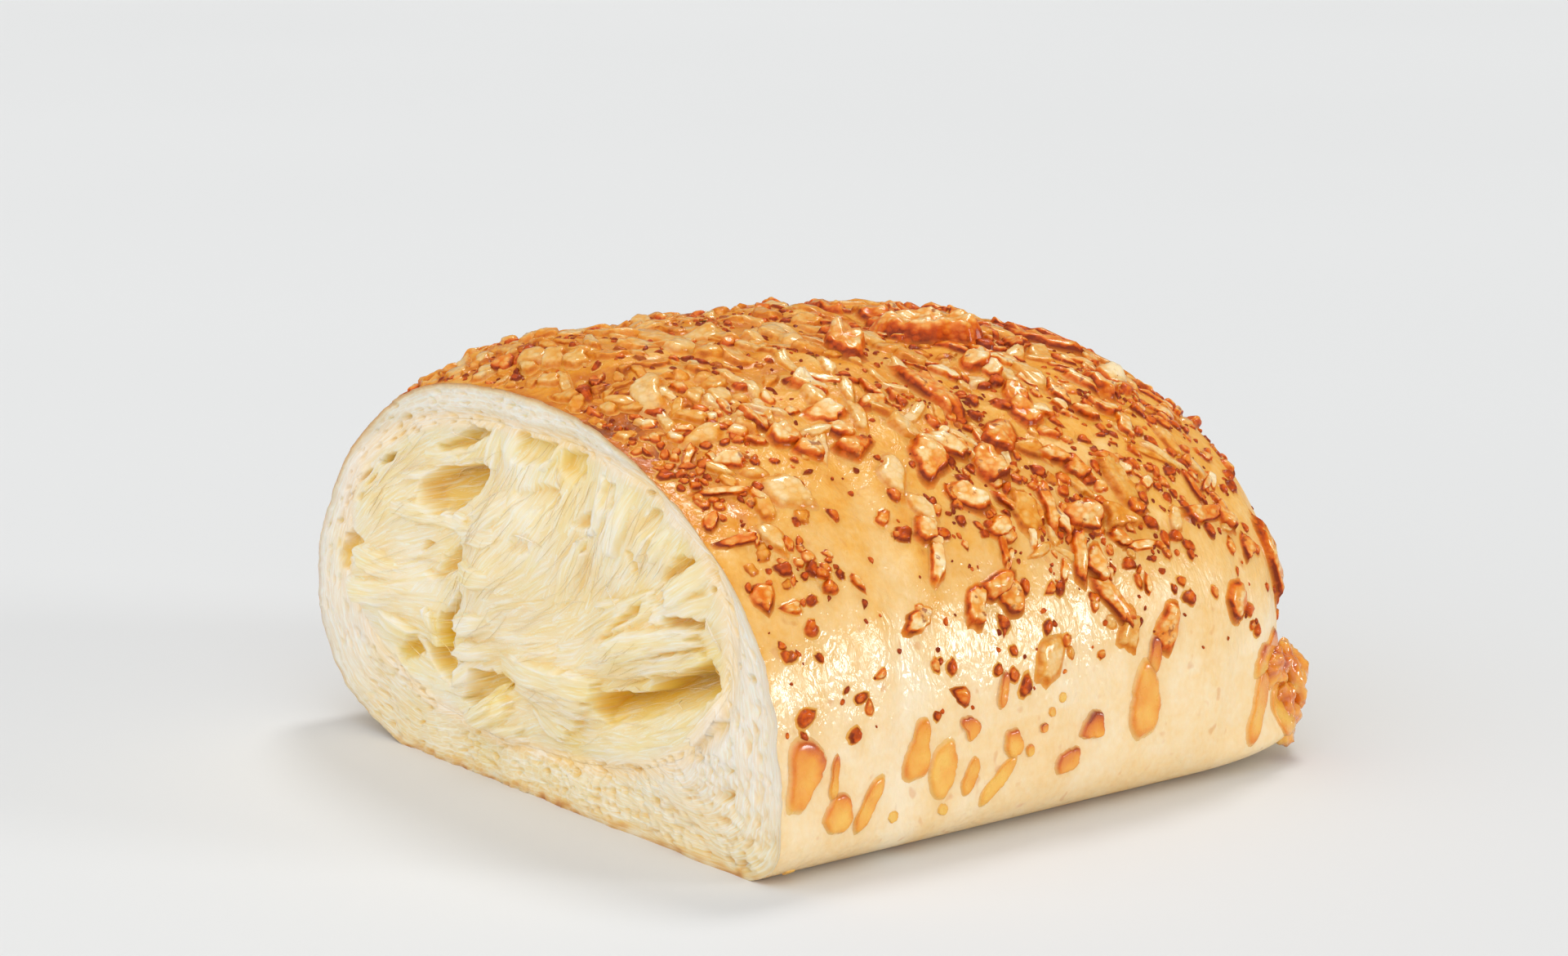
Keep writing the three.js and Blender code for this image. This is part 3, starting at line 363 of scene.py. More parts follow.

# How each kind of cheese piece is built: straight edges of its outline, how far they turn in degrees and how
# square the corners between them are; points round it; how craggy its top and how uneven its outline is; the
# share that melted; how browned it is, and how much darker at its side, part browning and part painted
# contact shade; how high it stands; and its profile as rings of (share of the radius, share of the height,
# millimetres added)
FLAT = [(0.5, 1.0, 0), (0.76, 0.95, 0), (0.9, 0.78, 0), (0.99, 0.46, 0), (1.06, 0.18, 0.03),
        (1.17, 0.04, 0.05), (1.34, 0, -0.06)]
KINDS = {
    "shreds": {"edges": 4, "jitter": 18, "square": 5, "sides": 26, "crag": 0.34, "uneven": 0.26, "melts": 0.4,
               "toast": (-0.1, 0.3), "side": 1.15, "low": 0.62, "profile": FLAT},
    "chips": {"edges": 5, "jitter": 30, "square": 5, "sides": 26, "crag": 0.38, "uneven": 0.22, "melts": 0.3,
              "toast": (-0.1, 0.3), "side": 1.15, "low": 0.66, "profile": FLAT},
    "disc": {"edges": 6, "jitter": 12, "square": 3, "sides": 60, "crag": 0.24, "uneven": 0.14, "melts": 0,
             "toast": (-0.06, 0), "side": 1.1, "low": 0.95, "profile": [
                 (0.15, 0.78, 0), (0.3, 0.74, 0), (0.44, 0.8, 0), (0.56, 0.94, 0), (0.68, 1.0, 0),
                 (0.78, 0.98, 0), (0.87, 0.82, 0), (0.94, 0.56, 0), (1.0, 0.24, 0), (1.05, 0.06, 0.03),
                 (1.2, 0, -0.06)]},
    "granules": {"edges": 5, "jitter": 32, "square": 5, "sides": 16, "crag": 0.3, "uneven": 0.18,
                 "melts": 0.2, "toast": (0.04, 0.62), "side": 0.9, "low": 0.74, "profile": [
                     (0.36, 0.98, 0), (0.66, 0.9, 0), (0.86, 0.66, 0), (0.97, 0.3, 0), (1.1, 0.06, 0.04),
                     (1.34, 0, -0.06)]},
    "beads": {"edges": 5, "jitter": 30, "square": 3, "sides": 14, "crag": 0.34, "uneven": 0.2, "melts": 0,
              "toast": (0.2, 0.68), "side": 0.7, "low": 0.9, "profile": [
                  (0.4, 0.96, 0), (0.7, 0.92, 0), (0.9, 0.62, 0), (1.02, 0.16, 0.03), (1.25, 0.02, 0.05),
                  (1.6, 0, -0.06)]},
    "specks": {"edges": 4, "jitter": 30, "square": 3, "sides": 8, "crag": 0.2, "uneven": 0.1, "melts": 0,
               "toast": (0.4, 0.95), "side": 0.6, "low": 0.8, "profile": [
                   (0.5, 0.92, 0), (0.85, 0.55, 0), (1.15, 0, -0.05)]},
}
# What tells the kinds apart: least length and width, most width against the length, least length
KIND_SIZES = {"disc": (12, 6), "shreds": 0.42, "chips": 2.6}
# A drop's profile as rings of (share of the radius, share of the height), and its form: points round it,
# height at its middle, how often its corners are softened, how uneven it is and how it browns
DRIP_PROFILE = [(0.25, 0.8), (0.5, 0.86), (0.7, 0.94), (0.84, 0.94), (0.92, 0.76), (0.97, 0.5), (1.03, 0.22),
                (1.12, 0.0)]
DRIP = {"sides": 64, "middle": 0.8, "softened": 8, "small": 1, "small_softened": 48, "uneven": 0.16,
        "swell": 0.14, "sunk": 0.05, "high": 0.3, "spots": 0.2, "edge": 0.18, "pale_middle": 0.12}

# The top of a piece of cheese: sizes of its crags, facets and grain, and their shares
ROUGH = {"crag_size": 1.1, "facet_size": 1.5, "facet_level": 0.3, "facets": 0.7, "grain_size": 0.4,
         "grain": 0.12, "melted": 0.5}
# How far a piece bends and leans, how flat a melted one lies, and how low its points may come
LEAN = {"bend": 0.05, "along": 0.22, "across": 0.16, "least": 0.3, "melted": 0.72, "lowest": 0.2}
# How a piece browns with the angle above the belt; how much darker it is at its side and most on the low one,
# part browning and part painted contact shade; and how much paler its high crags and darker its low ones are,
# as painted light and shade
BROWNS = {"belt": (58, 34), "belt_gain": 0.14, "ridge": (48, 64), "ridge_gain": 0.24, "turn": 0.6,
          "melted": 0.45, "even": 0.1, "broken": 0.55, "low_side": 0.3, "crags": 0.16, "most": (0.74, 1.1)}

# How baked the crust is, from 0, cream, to 1, dark brown: gains by degrees above the belt, then those of the
# clouds, the streaks, the cheese near by, the band and the edge at the cut, the base line and the base, and
# how much paler it is under melted cheese
BAKE = {"least": 0.13, "steps": [(0.27, -1, 19), (0.16, 20, 70), (0.04, 14, 30)], "cloud": 0.07,
        "cloud_size": 8, "streaks": 0.05, "streak_size": (1.7, 26), "cover": 0.05, "near": 0.07,
        "band": 0.28, "band_ends": (11, 2), "band_middle": 50, "band_half": 17, "edge": 0.04,
        "line": 0.3, "base": 0.42, "base_cloud": 0.16, "under_melt": 0.16}
# Along the first seam: gain, place behind it, half width, degrees where it is none and full
SEAM_BAKE = [(-0.13, 0, 2, 45, 8), (0.06, 4.2, 1.6, 50, 20)]
# On the far end the bake follows the height instead of the angle
END_BAKE = {"starts": (50, 72), "degrees_per_mm": 1.3, "wander": 3}
# The melted layer on the ridge, the uneven glaze and the film round the pieces
MELT = {"rise": 0.75, "size": 2.8, "least": 0.22, "cover": (0.2, 0.7), "glaze": 0.07, "glaze_size": 3.4,
        "film": 0.12, "film_size": 1.3, "film_least": 0.15, "off_base": (1, 4), "off_cut": (0, 3),
        "off_tip": (0.5, 4)}
# How far round a piece of cheese the crust is browner, and how many of its points are worked out at once
HALO = {"share": 0.75, "more": 0.7, "at_once": 4000}
# Where the glaze shines: less on the far end, in clouds, and less above the flank
GLOSS = {"far": 0.75, "far_starts": (38, 50), "cloud": 0.3, "cloud_size": 6, "above": 0.55,
         "above_ends": (24, 40)}

# Camera: where it stands by the roll's millimetres, its heading from +Y towards -X and its tilt down
CAMERA = {"at": (320.04, -217.05, 114.21), "heading": 51.99, "down": 11.78, "lens": 88.5, "sensor": 36,
          "clip": (0.01, 20)}


def clamp01(value):
    return np.clip(value, 0, 1)


def smooth(start, end, value):
    t = clamp01((value - start) / (end - start))
    return t * t * (3 - 2 * t)


def bump(distance, half):
    return np.exp(-((distance / half) ** 2))


def wave(a, b, c):
    return (0.5 * np.sin(1.7 * a + 2.1 * np.sin(0.9 * b + 0.7) + c)
            + 0.3 * np.sin(2.3 * b + 1.3 * np.sin(1.1 * c + a) + 1.9)
            + 0.2 * np.sin(3.1 * c + 1.7 * np.sin(1.9 * a + b) + 4.2))


def lattice(ix, iy, iz, seed):
    """A repeatable number from 0 to 1 for each whole-numbered place."""
    mixed = (ix * 374761393 + iy * 668265263 + iz * 1103515245 + seed * 974634777) & 0xFFFFFFFF
    mixed = ((mixed ^ (mixed >> 13)) * 1274126177) & 0xFFFFFFFF
    return ((mixed ^ (mixed >> 16)) & 0xFFFFFF) / 0xFFFFFF


def noise(x, y, z=0.0, seed=0):
    """Smooth noise from -1 to 1, with features one unit across."""
    x, y, z = np.broadcast_arrays(np.asarray(x, float), y, z)
    whole = [np.floor(v).astype(np.int64) for v in (x, y, z)]
    part = [v - w for v, w in zip((x, y, z), whole)]
    part = [t * t * (3 - 2 * t) for t in part]
    total = 0
    for i in (0, 1):
        for j in (0, 1):
            for k in (0, 1):
                weight = ((part[0] if i else 1 - part[0]) * (part[1] if j else 1 - part[1])
                          * (part[2] if k else 1 - part[2]))
                total = total + weight * lattice(whole[0] + i, whole[1] + j, whole[2] + k, seed)
    return 2 * total - 1


def fractal(x, y, z=0.0, seed=0, octaves=3):
    total, size = 0, 1.0
    for octave in range(octaves):
        scale = 2.03 ** octave
        total = total + size * noise(x * scale, y * scale, np.asarray(z) * scale, seed + octave)
        size *= 0.5
    return total / (2 - 0.5 ** (octaves - 1))


def end_fade(y, roundness):
    t = clamp01((y - STRAIGHT) / (LENGTH - STRAIGHT))
    return np.power(np.maximum(0, 1 - np.power(t, roundness)), 1 / roundness)


def super_radius(angle, half_width, half_height, roundness):
    across = np.power(np.abs(np.cos(angle)) / half_width, roundness)
    upright = np.power(np.abs(np.sin(angle)) / half_height, roundness)
    return np.power(across + upright, -1 / roundness)


def roll_points(y, angle):
    """The roll without its lip and seams, at places behind the cut and angles round the section."""
    y, angle = np.broadcast_arrays(np.asarray(y, float), np.asarray(angle, float))
    right = np.cos(angle) >= 0
    upper = np.sin(angle) >= 0
    plan = np.maximum(TINY, end_fade(y, ROUNDNESS["plan"]))
    belt_at_cut = np.where(right, BELT["right"], BELT["left"])
    belt = belt_at_cut + (BELT["end"] - belt_at_cut) * clamp01(y / LENGTH)
    crown = CUT_HEIGHT + (CROWN_HEIGHT - CUT_HEIGHT) * smooth(0, CROWN_RUN, y)
    middle = RIDGE_SIDE * plan
    side = WIDTH / 2 * plan + np.where(right, -middle, middle)
    upright = np.where(upper, (crown - belt) * end_fade(y, ROUNDNESS["crown"]),
                       (belt + BASE_SINK) * end_fade(y, ROUNDNESS["under"]))
    roundness = np.where(upper, np.where(right, ROUNDNESS["up_right"], ROUNDNESS["up_left"]),
                         np.where(right, ROUNDNESS["down_right"], ROUNDNESS["down_left"]))
    radius = super_radius(angle, side, np.maximum(TINY, upright), roundness)
    tip = TIP_SIDE * smooth(STRAIGHT, LENGTH, y) ** 2
    return np.stack([tip + middle + radius * np.cos(angle), y,
                     np.maximum(0, belt + radius * np.sin(angle))], axis=-1)


def surface_steps(y, angle):
    """The steps along the roll and round it, and the outward normal."""
    place = np.minimum(y, LENGTH - NEAR["tip"])
    along = (roll_points(place + NEAR["along"], angle) - roll_points(place - NEAR["along"], angle))
    round_it = (roll_points(place, angle + NEAR["round"]) - roll_points(place, angle - NEAR["round"]))
    along = along / (2 * NEAR["along"])
    round_it = round_it / (2 * NEAR["round"])
    normal = np.cross(along, round_it)
    return along, round_it, normal / np.maximum(TINY, np.linalg.norm(normal, axis=-1, keepdims=True))


def dough_relief(point, angle):
    x, y, z = np.moveaxis(point, -1, 0)
    relief = DOUGH["swell"] * wave(x / DOUGH["across"], y / DOUGH["along"], z / DOUGH["upright"])
    for place, lean, depth, half in SEAMS:
        relief = relief - depth * bump(y - place - lean * np.sin(angle), half)
    return relief * smooth(*DOUGH["clear_of_base"], z)


def lip_out(point):
    y, z = point[..., 1], point[..., 2]
    crease = LIP["crease"] + LIP["rise"] * smooth(LIP["rise_starts"], LENGTH, y)
    below = 1 - smooth(crease - LIP["soft"], crease + 1, z)
    return LIP["out"] * smooth(LIP["starts"], LIP["full"], y) * below


def crust_points(y, angle, height=0.0):
    """Points of the crust, or ones that stand off it."""
    y, angle, height = np.broadcast_arrays(np.asarray(y, float), angle, height)
    point = roll_points(y, angle)
    normal = surface_steps(y, angle)[2]
    moved = point + normal * (1, 1, 0) * lip_out(point)[..., None]
    return moved + normal * (dough_relief(point, angle) + height)[..., None]


def even_angles(count):
    """Angles round the section that step evenly along its outline at the cut."""
    fine = np.linspace(0, 2 * np.pi, OUTLINE_STEPS + 1)
    steps = np.linalg.norm(np.diff(roll_points(np.zeros_like(fine), fine), axis=0), axis=1)
    walked = np.concatenate([[0], np.cumsum(steps)])
    return np.interp(np.arange(count) / count * walked[-1], walked, fine)


def cut_edge(angle):
    """How far the ragged edge of the crust stands out of the cut."""
    return sum(reach * noise(waves * np.cos(angle), waves * np.sin(angle), seed=seed)
               for reach, waves, seed in CUT_EDGE)


# Meshes

# What moves the roll's own millimetres into the frame, by where the filling lies in it
METRE = 1000
filling_low, filling_high = (np.array(corner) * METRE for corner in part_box("cheese_filling"))
SHIFT = np.array([FILLING["x"] - (filling_low[0] + filling_high[0]) / 2,
                  FILLING["depth"] - filling_high[1], 0])


def make_piece(name, points, faces, values=None, rides="root", replaces=None):
    """A mesh object from points in millimetres, face arrays, and numbers for each point or corner."""
    mesh = bpy.data.meshes.new(name)
    points = (np.asarray(points) - SHIFT) / METRE
    faces = [np.asarray(group, np.int32) for group in faces if len(group)]
    corners = np.concatenate([group.ravel() for group in faces])
    sizes = np.concatenate([np.full(len(group), group.shape[1]) for group in faces])
    mesh.vertices.add(len(points))
    mesh.vertices.foreach_set("co", points.astype(np.float32).ravel())
    mesh.loops.add(len(corners))
    mesh.loops.foreach_set("vertex_index", corners)
    mesh.polygons.add(len(sizes))
    mesh.polygons.foreach_set("loop_start", np.concatenate([[0], np.cumsum(sizes)[:-1]]).astype(np.int32))
    mesh.polygons.foreach_set("use_smooth", np.ones(len(sizes), bool))
    for key, numbers in (values or {}).items():
        numbers = np.asarray(numbers, np.float32)
        if numbers.ndim == 1:
            mesh.attributes.new(key, "FLOAT", "POINT").data.foreach_set("value", numbers)
        else:
            mesh.attributes.new(key, "FLOAT_VECTOR", "CORNER").data.foreach_set("vector", numbers.ravel())
    mesh.update(calc_edges=True)
    piece = bpy.data.objects.new(name, mesh)
    bpy.context.scene.collection.objects.link(piece)
    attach(piece, rides)
    if replaces:
        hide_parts(replaces)
    return piece


def ring_faces(rings, around, first=0):
    """Quads between rings of points that close on themselves."""
    ring, i = np.meshgrid(np.arange(rings - 1), np.arange(around), indexing="ij")
    ring, i = ring.ravel(), i.ravel()
    following = (i + 1) % around
    return first + np.stack([ring * around + i, ring * around + following,
                             (ring + 1) * around + following, (ring + 1) * around + i], axis=1)


def closing_fan(first, around, tip):
    """Triangles that close a ring of points onto one more."""
    here = first + np.arange(around)
    return np.stack([here, np.roll(here, -1), np.full(around, tip)], axis=1)


# The cut face, as maps over x and z

def face_grid():
    """The places of the maps' cells."""
    x = np.arange(*FACE_GRID["x"], FACE_GRID["cell"])
    z = np.arange(*FACE_GRID["z"], FACE_GRID["cell"])
    return np.meshgrid(x, z)


def map_cell(x, z, shape, edge=1):
    """Where places lie on a map, as a column and a row, kept this far inside its last ones."""
    column = np.clip((x - FACE_GRID["x"][0]) / FACE_GRID["cell"], 0, shape[1] - edge)
    row = np.clip((z - FACE_GRID["z"][0]) / FACE_GRID["cell"], 0, shape[0] - edge)
    return column, row


def read_map(values, x, z):
    """A map's values at places on the cut, between its cells."""
    column, row = map_cell(x, z, values.shape, edge=1.001)
    i, j = column.astype(int), row.astype(int)
    s, t = column - i, row - j
    if values.ndim == 3:
        s, t = s[..., None], t[..., None]
    return ((values[j, i] * (1 - s) + values[j, i + 1] * s) * (1 - t)
            + (values[j + 1, i] * (1 - s) + values[j + 1, i + 1] * s) * t)


def filling_share(x, z):
    """0 at the middle of the filling, 1 on its edge."""
    across = np.abs(x - FILLING["x"]) / FILLING["half_width"]
    upright = np.abs(z - FILLING["z"]) / FILLING["half_height"]
    power = FILLING["roundness"]
    return np.power(across ** power + upright ** power, 1 / power)


def local_window(x, z, reach):
    """The part of the maps round a place."""
    cell = FACE_GRID["cell"]
    i = int((x - reach - FACE_GRID["x"][0]) / cell), int((x + reach - FACE_GRID["x"][0]) / cell) + 1
    j = int((z - reach - FACE_GRID["z"][0]) / cell), int((z + reach - FACE_GRID["z"][0]) / cell) + 1
    return slice(max(0, j[0]), max(0, j[1])), slice(max(0, i[0]), max(0, i[1]))


def bearing_of(x, z):
    """The bearing of places on the cut from the filling's middle."""
    return np.arctan2(z - FILLING["z"], x - FILLING["x"])


def turned(x, z, angle):
    """Steps along and across a line at an angle."""
    return x * np.cos(angle) + z * np.sin(angle), z * np.cos(angle) - x * np.sin(angle)


def flow_angle(x, z):
    """The way the fibres run, in radians, as a line without a head."""
    sine = cosine = 0
    for px, pz, degrees, reach in FLOW:
        weight = np.exp(-(((x - px) ** 2 + (z - pz) ** 2) / reach ** 2)) + TINY
        sine = sine + weight * math.sin(2 * math.radians(degrees))
        cosine = cosine + weight * math.cos(2 * math.radians(degrees))
    return np.arctan2(sine, cosine) / 2


def inside_outline(x, z, outline):
    """How far inside a closed outline each place lies; below 0 outside."""
    corners = np.array(outline, float)
    nearest = np.full(x.shape, np.inf)
    within = np.zeros(x.shape, bool)
    for (ax, az), (bx, bz) in zip(corners, np.roll(corners, -1, axis=0)):
        share = clamp01(((x - ax) * (bx - ax) + (z - az) * (bz - az)) / ((bx - ax) ** 2 + (bz - az) ** 2))
        nearest = np.minimum(nearest, np.hypot(x - ax - share * (bx - ax), z - az - share * (bz - az)))
        crosses = (az > z) != (bz > z)
        slope = (bx - ax) * (z - az) / (bz - az if bz != az else TINY) + ax
        within ^= crosses & (x < slope)
    return np.where(within, nearest, -nearest)


def tear_base(x, z):
    """The large lumps of the cut, and the hollows torn between them."""
    size = TEAR["swell_size"]
    falls = smooth(*TEAR["falls"], x + TEAR["slant"] * (z - TEAR["middle"]))
    rise = TEAR["swell"] * fractal(x / size, z / size, seed=31) - TEAR["below_rim"] * falls
    for fx, fz, long, wide, tilt, height in LUMPS:
        u, v = turned(x - fx, z - fz, math.radians(tilt))
        reach = np.power(np.hypot(u / long, v / wide), TEAR["lump_edge"])
        rise = rise + TEAR["lump_rise"] * height * np.exp(-reach)
    ragged_x, ragged_z = x, z
    for reach, size, seed_x, seed_z in RAGGED:
        ragged_x = ragged_x + reach * noise(x / size, z / size, seed=seed_x)
        ragged_z = ragged_z + reach * noise(x / size, z / size, seed=seed_z)
    for heading, deep, shallow, soft, outline in HOLLOWS:
        reach = np.cos(math.radians(heading)), np.sin(math.radians(heading))
        ends = np.array(outline) @ reach
        depth = (x * reach[0] + z * reach[1] - ends.min()) / (ends.max() - ends.min())
        depth = shallow + (deep - shallow) * clamp01(depth) ** TEAR["hollow_slope"]
        rise = rise - depth * smooth(0, soft, inside_outline(ragged_x, ragged_z, outline))
    return np.clip(rise, TEAR["deepest"], TEAR["highest"])


def random_place(rng, area):
    """A place on the pulled core, away from its edge."""
    while True:
        x, z = rng.uniform(*area["x"]), rng.uniform(*area["z"])
        if filling_share(x, z) < area["share"]:
            return x, z


def fibre_heading(x, z, turn, rng):
    """The way the fibres run at a place, turned a little."""
    return float(flow_angle(np.array(x), np.array(z))) + math.radians(rng.normal(0, turn))


def fibre_ridges(u, v, seed):
    """The ridges of the single fibres in a bundle or sheet."""
    return noise(v / STRAND["width"] + seed, u / STRAND["run"], seed=42)


def along_fibres(row, x, z):
    """Places as steps along and across the fibres of a bundle or sheet."""
    px, pz, heading, curve, seed = row
    u, v = turned(x - px, z - pz, heading)
    sway = noise(u / STRAND["sway_along"], v / STRAND["sway_across"] + seed, seed=43)
    return u, v + curve * u * u + STRAND["sway"] * sway


def lay_over(maps, window, covered, row, layers):
    """Notes on the maps that a bundle or sheet of fibres covers some places."""
    for key, values in {**layers, "which": len(maps["frames"])}.items():
        maps[key][window] = np.where(covered, values, maps[key][window])
    maps["frames"].append(row)


def lay_bundles(x, z, base, rng):
    """Covers the cut with long bundles of fibre."""
    nearest = np.full(x.shape, BUNDLES["far"])
    second = nearest.copy()
    maps = {"ridge": np.zeros_like(x), "offset": np.zeros_like(x), "which": np.zeros(x.shape, int),
            "frames": [(0,) * 5]}
    for _ in range(BUNDLES["count"]):
        px, pz = random_place(rng, PULLED_AREA)
        long, wide = rng.uniform(*BUNDLES["half_length"]), rng.uniform(*BUNDLES["half_width"])
        heading = fibre_heading(px, pz, BUNDLES["turn"], rng)
        row = (px, pz, heading, STRAND["bend"] * rng.normal(), rng.uniform(0, SEED_SPAN))
        own = rng.uniform(-1, 1)
        window = local_window(px, pz, BUNDLES["window"] * long)
        u, v = along_fibres(row, x[window], z[window])
        reach = np.hypot(u / long, v / wide)
        near = nearest[window]
        closer = reach < near
        second[window] = np.where(closer, near, np.minimum(second[window], reach))
        nearest[window] = np.where(closer, reach, near)
        lay_over(maps, window, closer, row, {"offset": own, "ridge": fibre_ridges(u, v, row[4])})
    apart = smooth(0, BUNDLES["groove_width"], second - nearest)
    maps["rise"] = (base + BUNDLES["step"] * maps["offset"] * apart - BUNDLES["groove"] * (1 - apart)
                    + BUNDLES["rise"] * maps["ridge"])
    return maps


def lay_sheets(x, z, base, maps, rng):
    """Lays sheets of fibre at random, then those that stand out in their own place."""
    for _ in range(SHEETS["count"]):
        px, pz = random_place(rng, PULLED_AREA)
        heading = fibre_heading(px, pz, SHEETS["turn"], rng)
        heading += math.pi * (rng.random() < SHEETS["turned_back"])
        half = rng.uniform(*SHEETS["length"]) / 2
        step = half * math.cos(heading), half * math.sin(heading)
        root, tip = (px - step[0], pz - step[1]), (px + step[0], pz + step[1])
        lay_sheet(x, z, base, maps, rng, root, tip, rng.uniform(*SHEETS["half_width"]),
                  rng.uniform(*SHEETS["lift"]), STRAND["bend"] * rng.normal())
    for placed in PLACED_SHEETS:
        lay_sheet(x, z, base, maps, rng, *placed)


def lay_sheet(x, z, base, maps, rng, root, tip, half, lift, bend):
    """Lays one sheet of fibres: its root lies in the crumb and its far end stands off, torn."""
    form = SHEET_FORM
    length, heading = math.dist(root, tip), math.atan2(tip[1] - root[1], tip[0] - root[0])
    middle = (root[0] + tip[0]) / 2, (root[1] + tip[1]) / 2
    seed = rng.uniform(0, SEED_SPAN)
    row = (*middle, heading, bend, seed)
    window = local_window(*middle, form["window"] * length + half)
    u, v = along_fibres(row, x[window], z[window])
    v = v - bend * length * length / 4
    u = u + length / 2
    narrows = clamp01(form["narrows"][0] + form["narrows"][1] * u / length)
    taper = half * (form["least_width"] + (1 - form["least_width"]) * np.sin(np.pi * narrows))
    taper = taper * (1 + form["uneven"] * noise(u / form["uneven_size"], seed, seed=44))
    fringe = sum(reach * noise(v / size + seed, 0.0, seed=own) for reach, size, own in form["fringe"])
    end = length + min(form["fringe_most"], form["fringe_share"] * length) * (fringe - 1)
    along = smooth(0, form["risen"] * length, u) * (1 - smooth(0, form["soft_end"], u - end))
    across = 1 - smooth(form["soft_side"], 1.0, np.abs(v) / taper)
    ridges = fibre_ridges(u, v, seed)
    folds = noise(v / form["fold_size"][0] + seed, u / form["fold_size"][1], seed=46)
    height = (base[window] + SHEETS["stand"] * lift * along * across * (1 + form["folds"] * folds)
              + SHEETS["rise"] * ridges)
    covered = (along * across > form["least"]) & (height > maps["rise"][window])
    lay_over(maps, window, covered, row, {"rise": height, "ridge": ridges})


def dig_pore(x, z, rise, place, heading, half, wide, depth, reach, steepness):
    """Takes one long pore out of the rise."""
    window = local_window(*place, reach * half)
    u, v = turned(x[window] - place[0], z[window] - place[1], heading)
    rise[window] -= depth * np.exp(-np.hypot(u / half, v / wide) ** steepness)


def dig_pores(x, z, rise, out_distance, tangent, rng):
    """Pores of the dense crumb, drawn out along the crust, and rounder ones low at the right."""
    area = PORE_AREA
    for px, pz, half, wide, degrees, depth in PLACED_PORES:
        dig_pore(x, z, rise, (px, pz), math.radians(degrees), half, wide, depth, **PORE_FORM["placed"])
    for region, count, lengths, widths, depths in PORES:
        placed = 0
        while placed < count:
            place = rng.uniform(*area["x"]), rng.uniform(*area["z"])
            here = [np.array(number) for number in place]
            low = place[0] > area["low"][0] and place[1] < area["low"][1]
            at_crust = float(read_map(out_distance, *here)) < area["from_crust"]
            if at_crust or float(filling_share(*place)) < area["from_core"] or low != (region == "low"):
                continue
            placed += 1
            half = rng.uniform(*lengths)
            wide = half * rng.uniform(*widths)
            heading = float(read_map(tangent, *here)) + rng.normal(0, area["turn"])
            dig_pore(x, z, rise, place, heading, half, wide, rng.uniform(*depths), **PORE_FORM["strewn"])
    return rise


def crust_distance(x, z):
    """How far inside the crust a place on the cut lies, along the ray from the filling's middle."""
    angle = np.linspace(0, 2 * np.pi, OUTLINE_STEPS, endpoint=False)
    edge = crust_points(np.zeros_like(angle), angle)
    bearing = bearing_of(edge[:, 0], edge[:, 2])
    radius = np.hypot(edge[:, 2] - FILLING["z"], edge[:, 0] - FILLING["x"])
    order = np.argsort(bearing)
    return (np.interp(bearing_of(x, z), bearing[order], radius[order], period=2 * np.pi)
            - np.hypot(z - FILLING["z"], x - FILLING["x"]))


def soften(values, reach):
    """The values blurred over a reach in millimetres."""
    cells = max(1, round(reach / FACE_GRID["cell"]))
    kernel = np.ones(cells) / cells
    for _ in range(2):
        for axis in (0, 1):
            values = np.apply_along_axis(np.convolve, axis, values, kernel, "same")
    return values


def lay_rim(x, z, out):
    """The crumb of the rim in its layers: the steps across and along them, their ridges and their rise."""
    bearing = bearing_of(x, z)
    along_x, along_z = RIM["axes"][0] * np.cos(bearing), RIM["axes"][1] * np.sin(bearing)
    steps = [along / RIM["run"] + RIM["apart"] for along in (along_x, along_z)]
    ridge = noise(out / RIM["layer"], *steps, seed=51)
    rise = (RIM["swell"] * wave(x / RIM["swell_size"], z / RIM["swell_size"], 2)
            + RIM["grain"] * fractal(x / RIM["grain_size"], z / RIM["grain_size"], seed=52)
            + RIM["ridge"] * ridge)
    return np.stack([out, along_x, along_z], axis=-1), ridge, rise


def make_face():
    """The maps of the cut: its rise, the fibres that cover each place, and what colours it."""
    rng = np.random.default_rng(FINE_SEED)
    x, z = face_grid()
    share = filling_share(x, z)
    out = crust_distance(x, z)
    slope_z, slope_x = np.gradient(out)
    tangent = np.arctan2(slope_x, -slope_z)
    wavy = share
    for reach, size, seed in CORE_EDGE["wander"]:
        wavy = wavy + reach * noise(x / size, z / size, seed=seed)
    inside = smooth(*CORE_EDGE["relief"], wavy)
    base = tear_base(x, z)
    maps = lay_bundles(x, z, base, rng)
    lay_sheets(x, z, base, maps, rng)
    edge_limit = TEAR["edge_depth"] + TEAR["edge_slope"] * np.maximum(0, 1 - share) * FILLING["half_height"]
    rise = np.maximum(maps["rise"], -edge_limit)
    rim_strand, rim_ridge, rim_rise = lay_rim(x, z, out)
    rise = np.where(rise > 0, rise * inside, rise * smooth(*CORE_EDGE["hollows"], share))
    rise = dig_pores(x, z, rise + rim_rise * (1 - inside), out, tangent, rng)
    rise = rise * smooth(*RIM["to_crust"], out)
    gold = np.zeros_like(x)
    for px, pz, reach, strength in GOLD_SPOTS:
        gold = np.maximum(gold, strength * bump(np.hypot(x - px, z - pz), reach))
    return {
        "rise": rise, "out": out, "gold": gold, "rim_strand": rim_strand, "frames": np.array(maps["frames"]),
        "which": np.where(share < CORE_EDGE["fibres"], maps["which"], 0),
        "core": smooth(*CORE_EDGE["colour"], wavy),
        "ridge": 0.5 + 0.5 * (maps["ridge"] * inside + rim_ridge * (1 - inside)),
        "warm": 0.5 + 0.5 * fractal(x / WARM_SIZE, z / WARM_SIZE, seed=61, octaves=2),
        # How far each place lies below its blurred surroundings, which sets the painted shade of cavities
        "cavity_shade": clamp01((soften(rise, CAVITY_SHADE["reach"]) - rise) / CAVITY_SHADE["depth"]),
    }


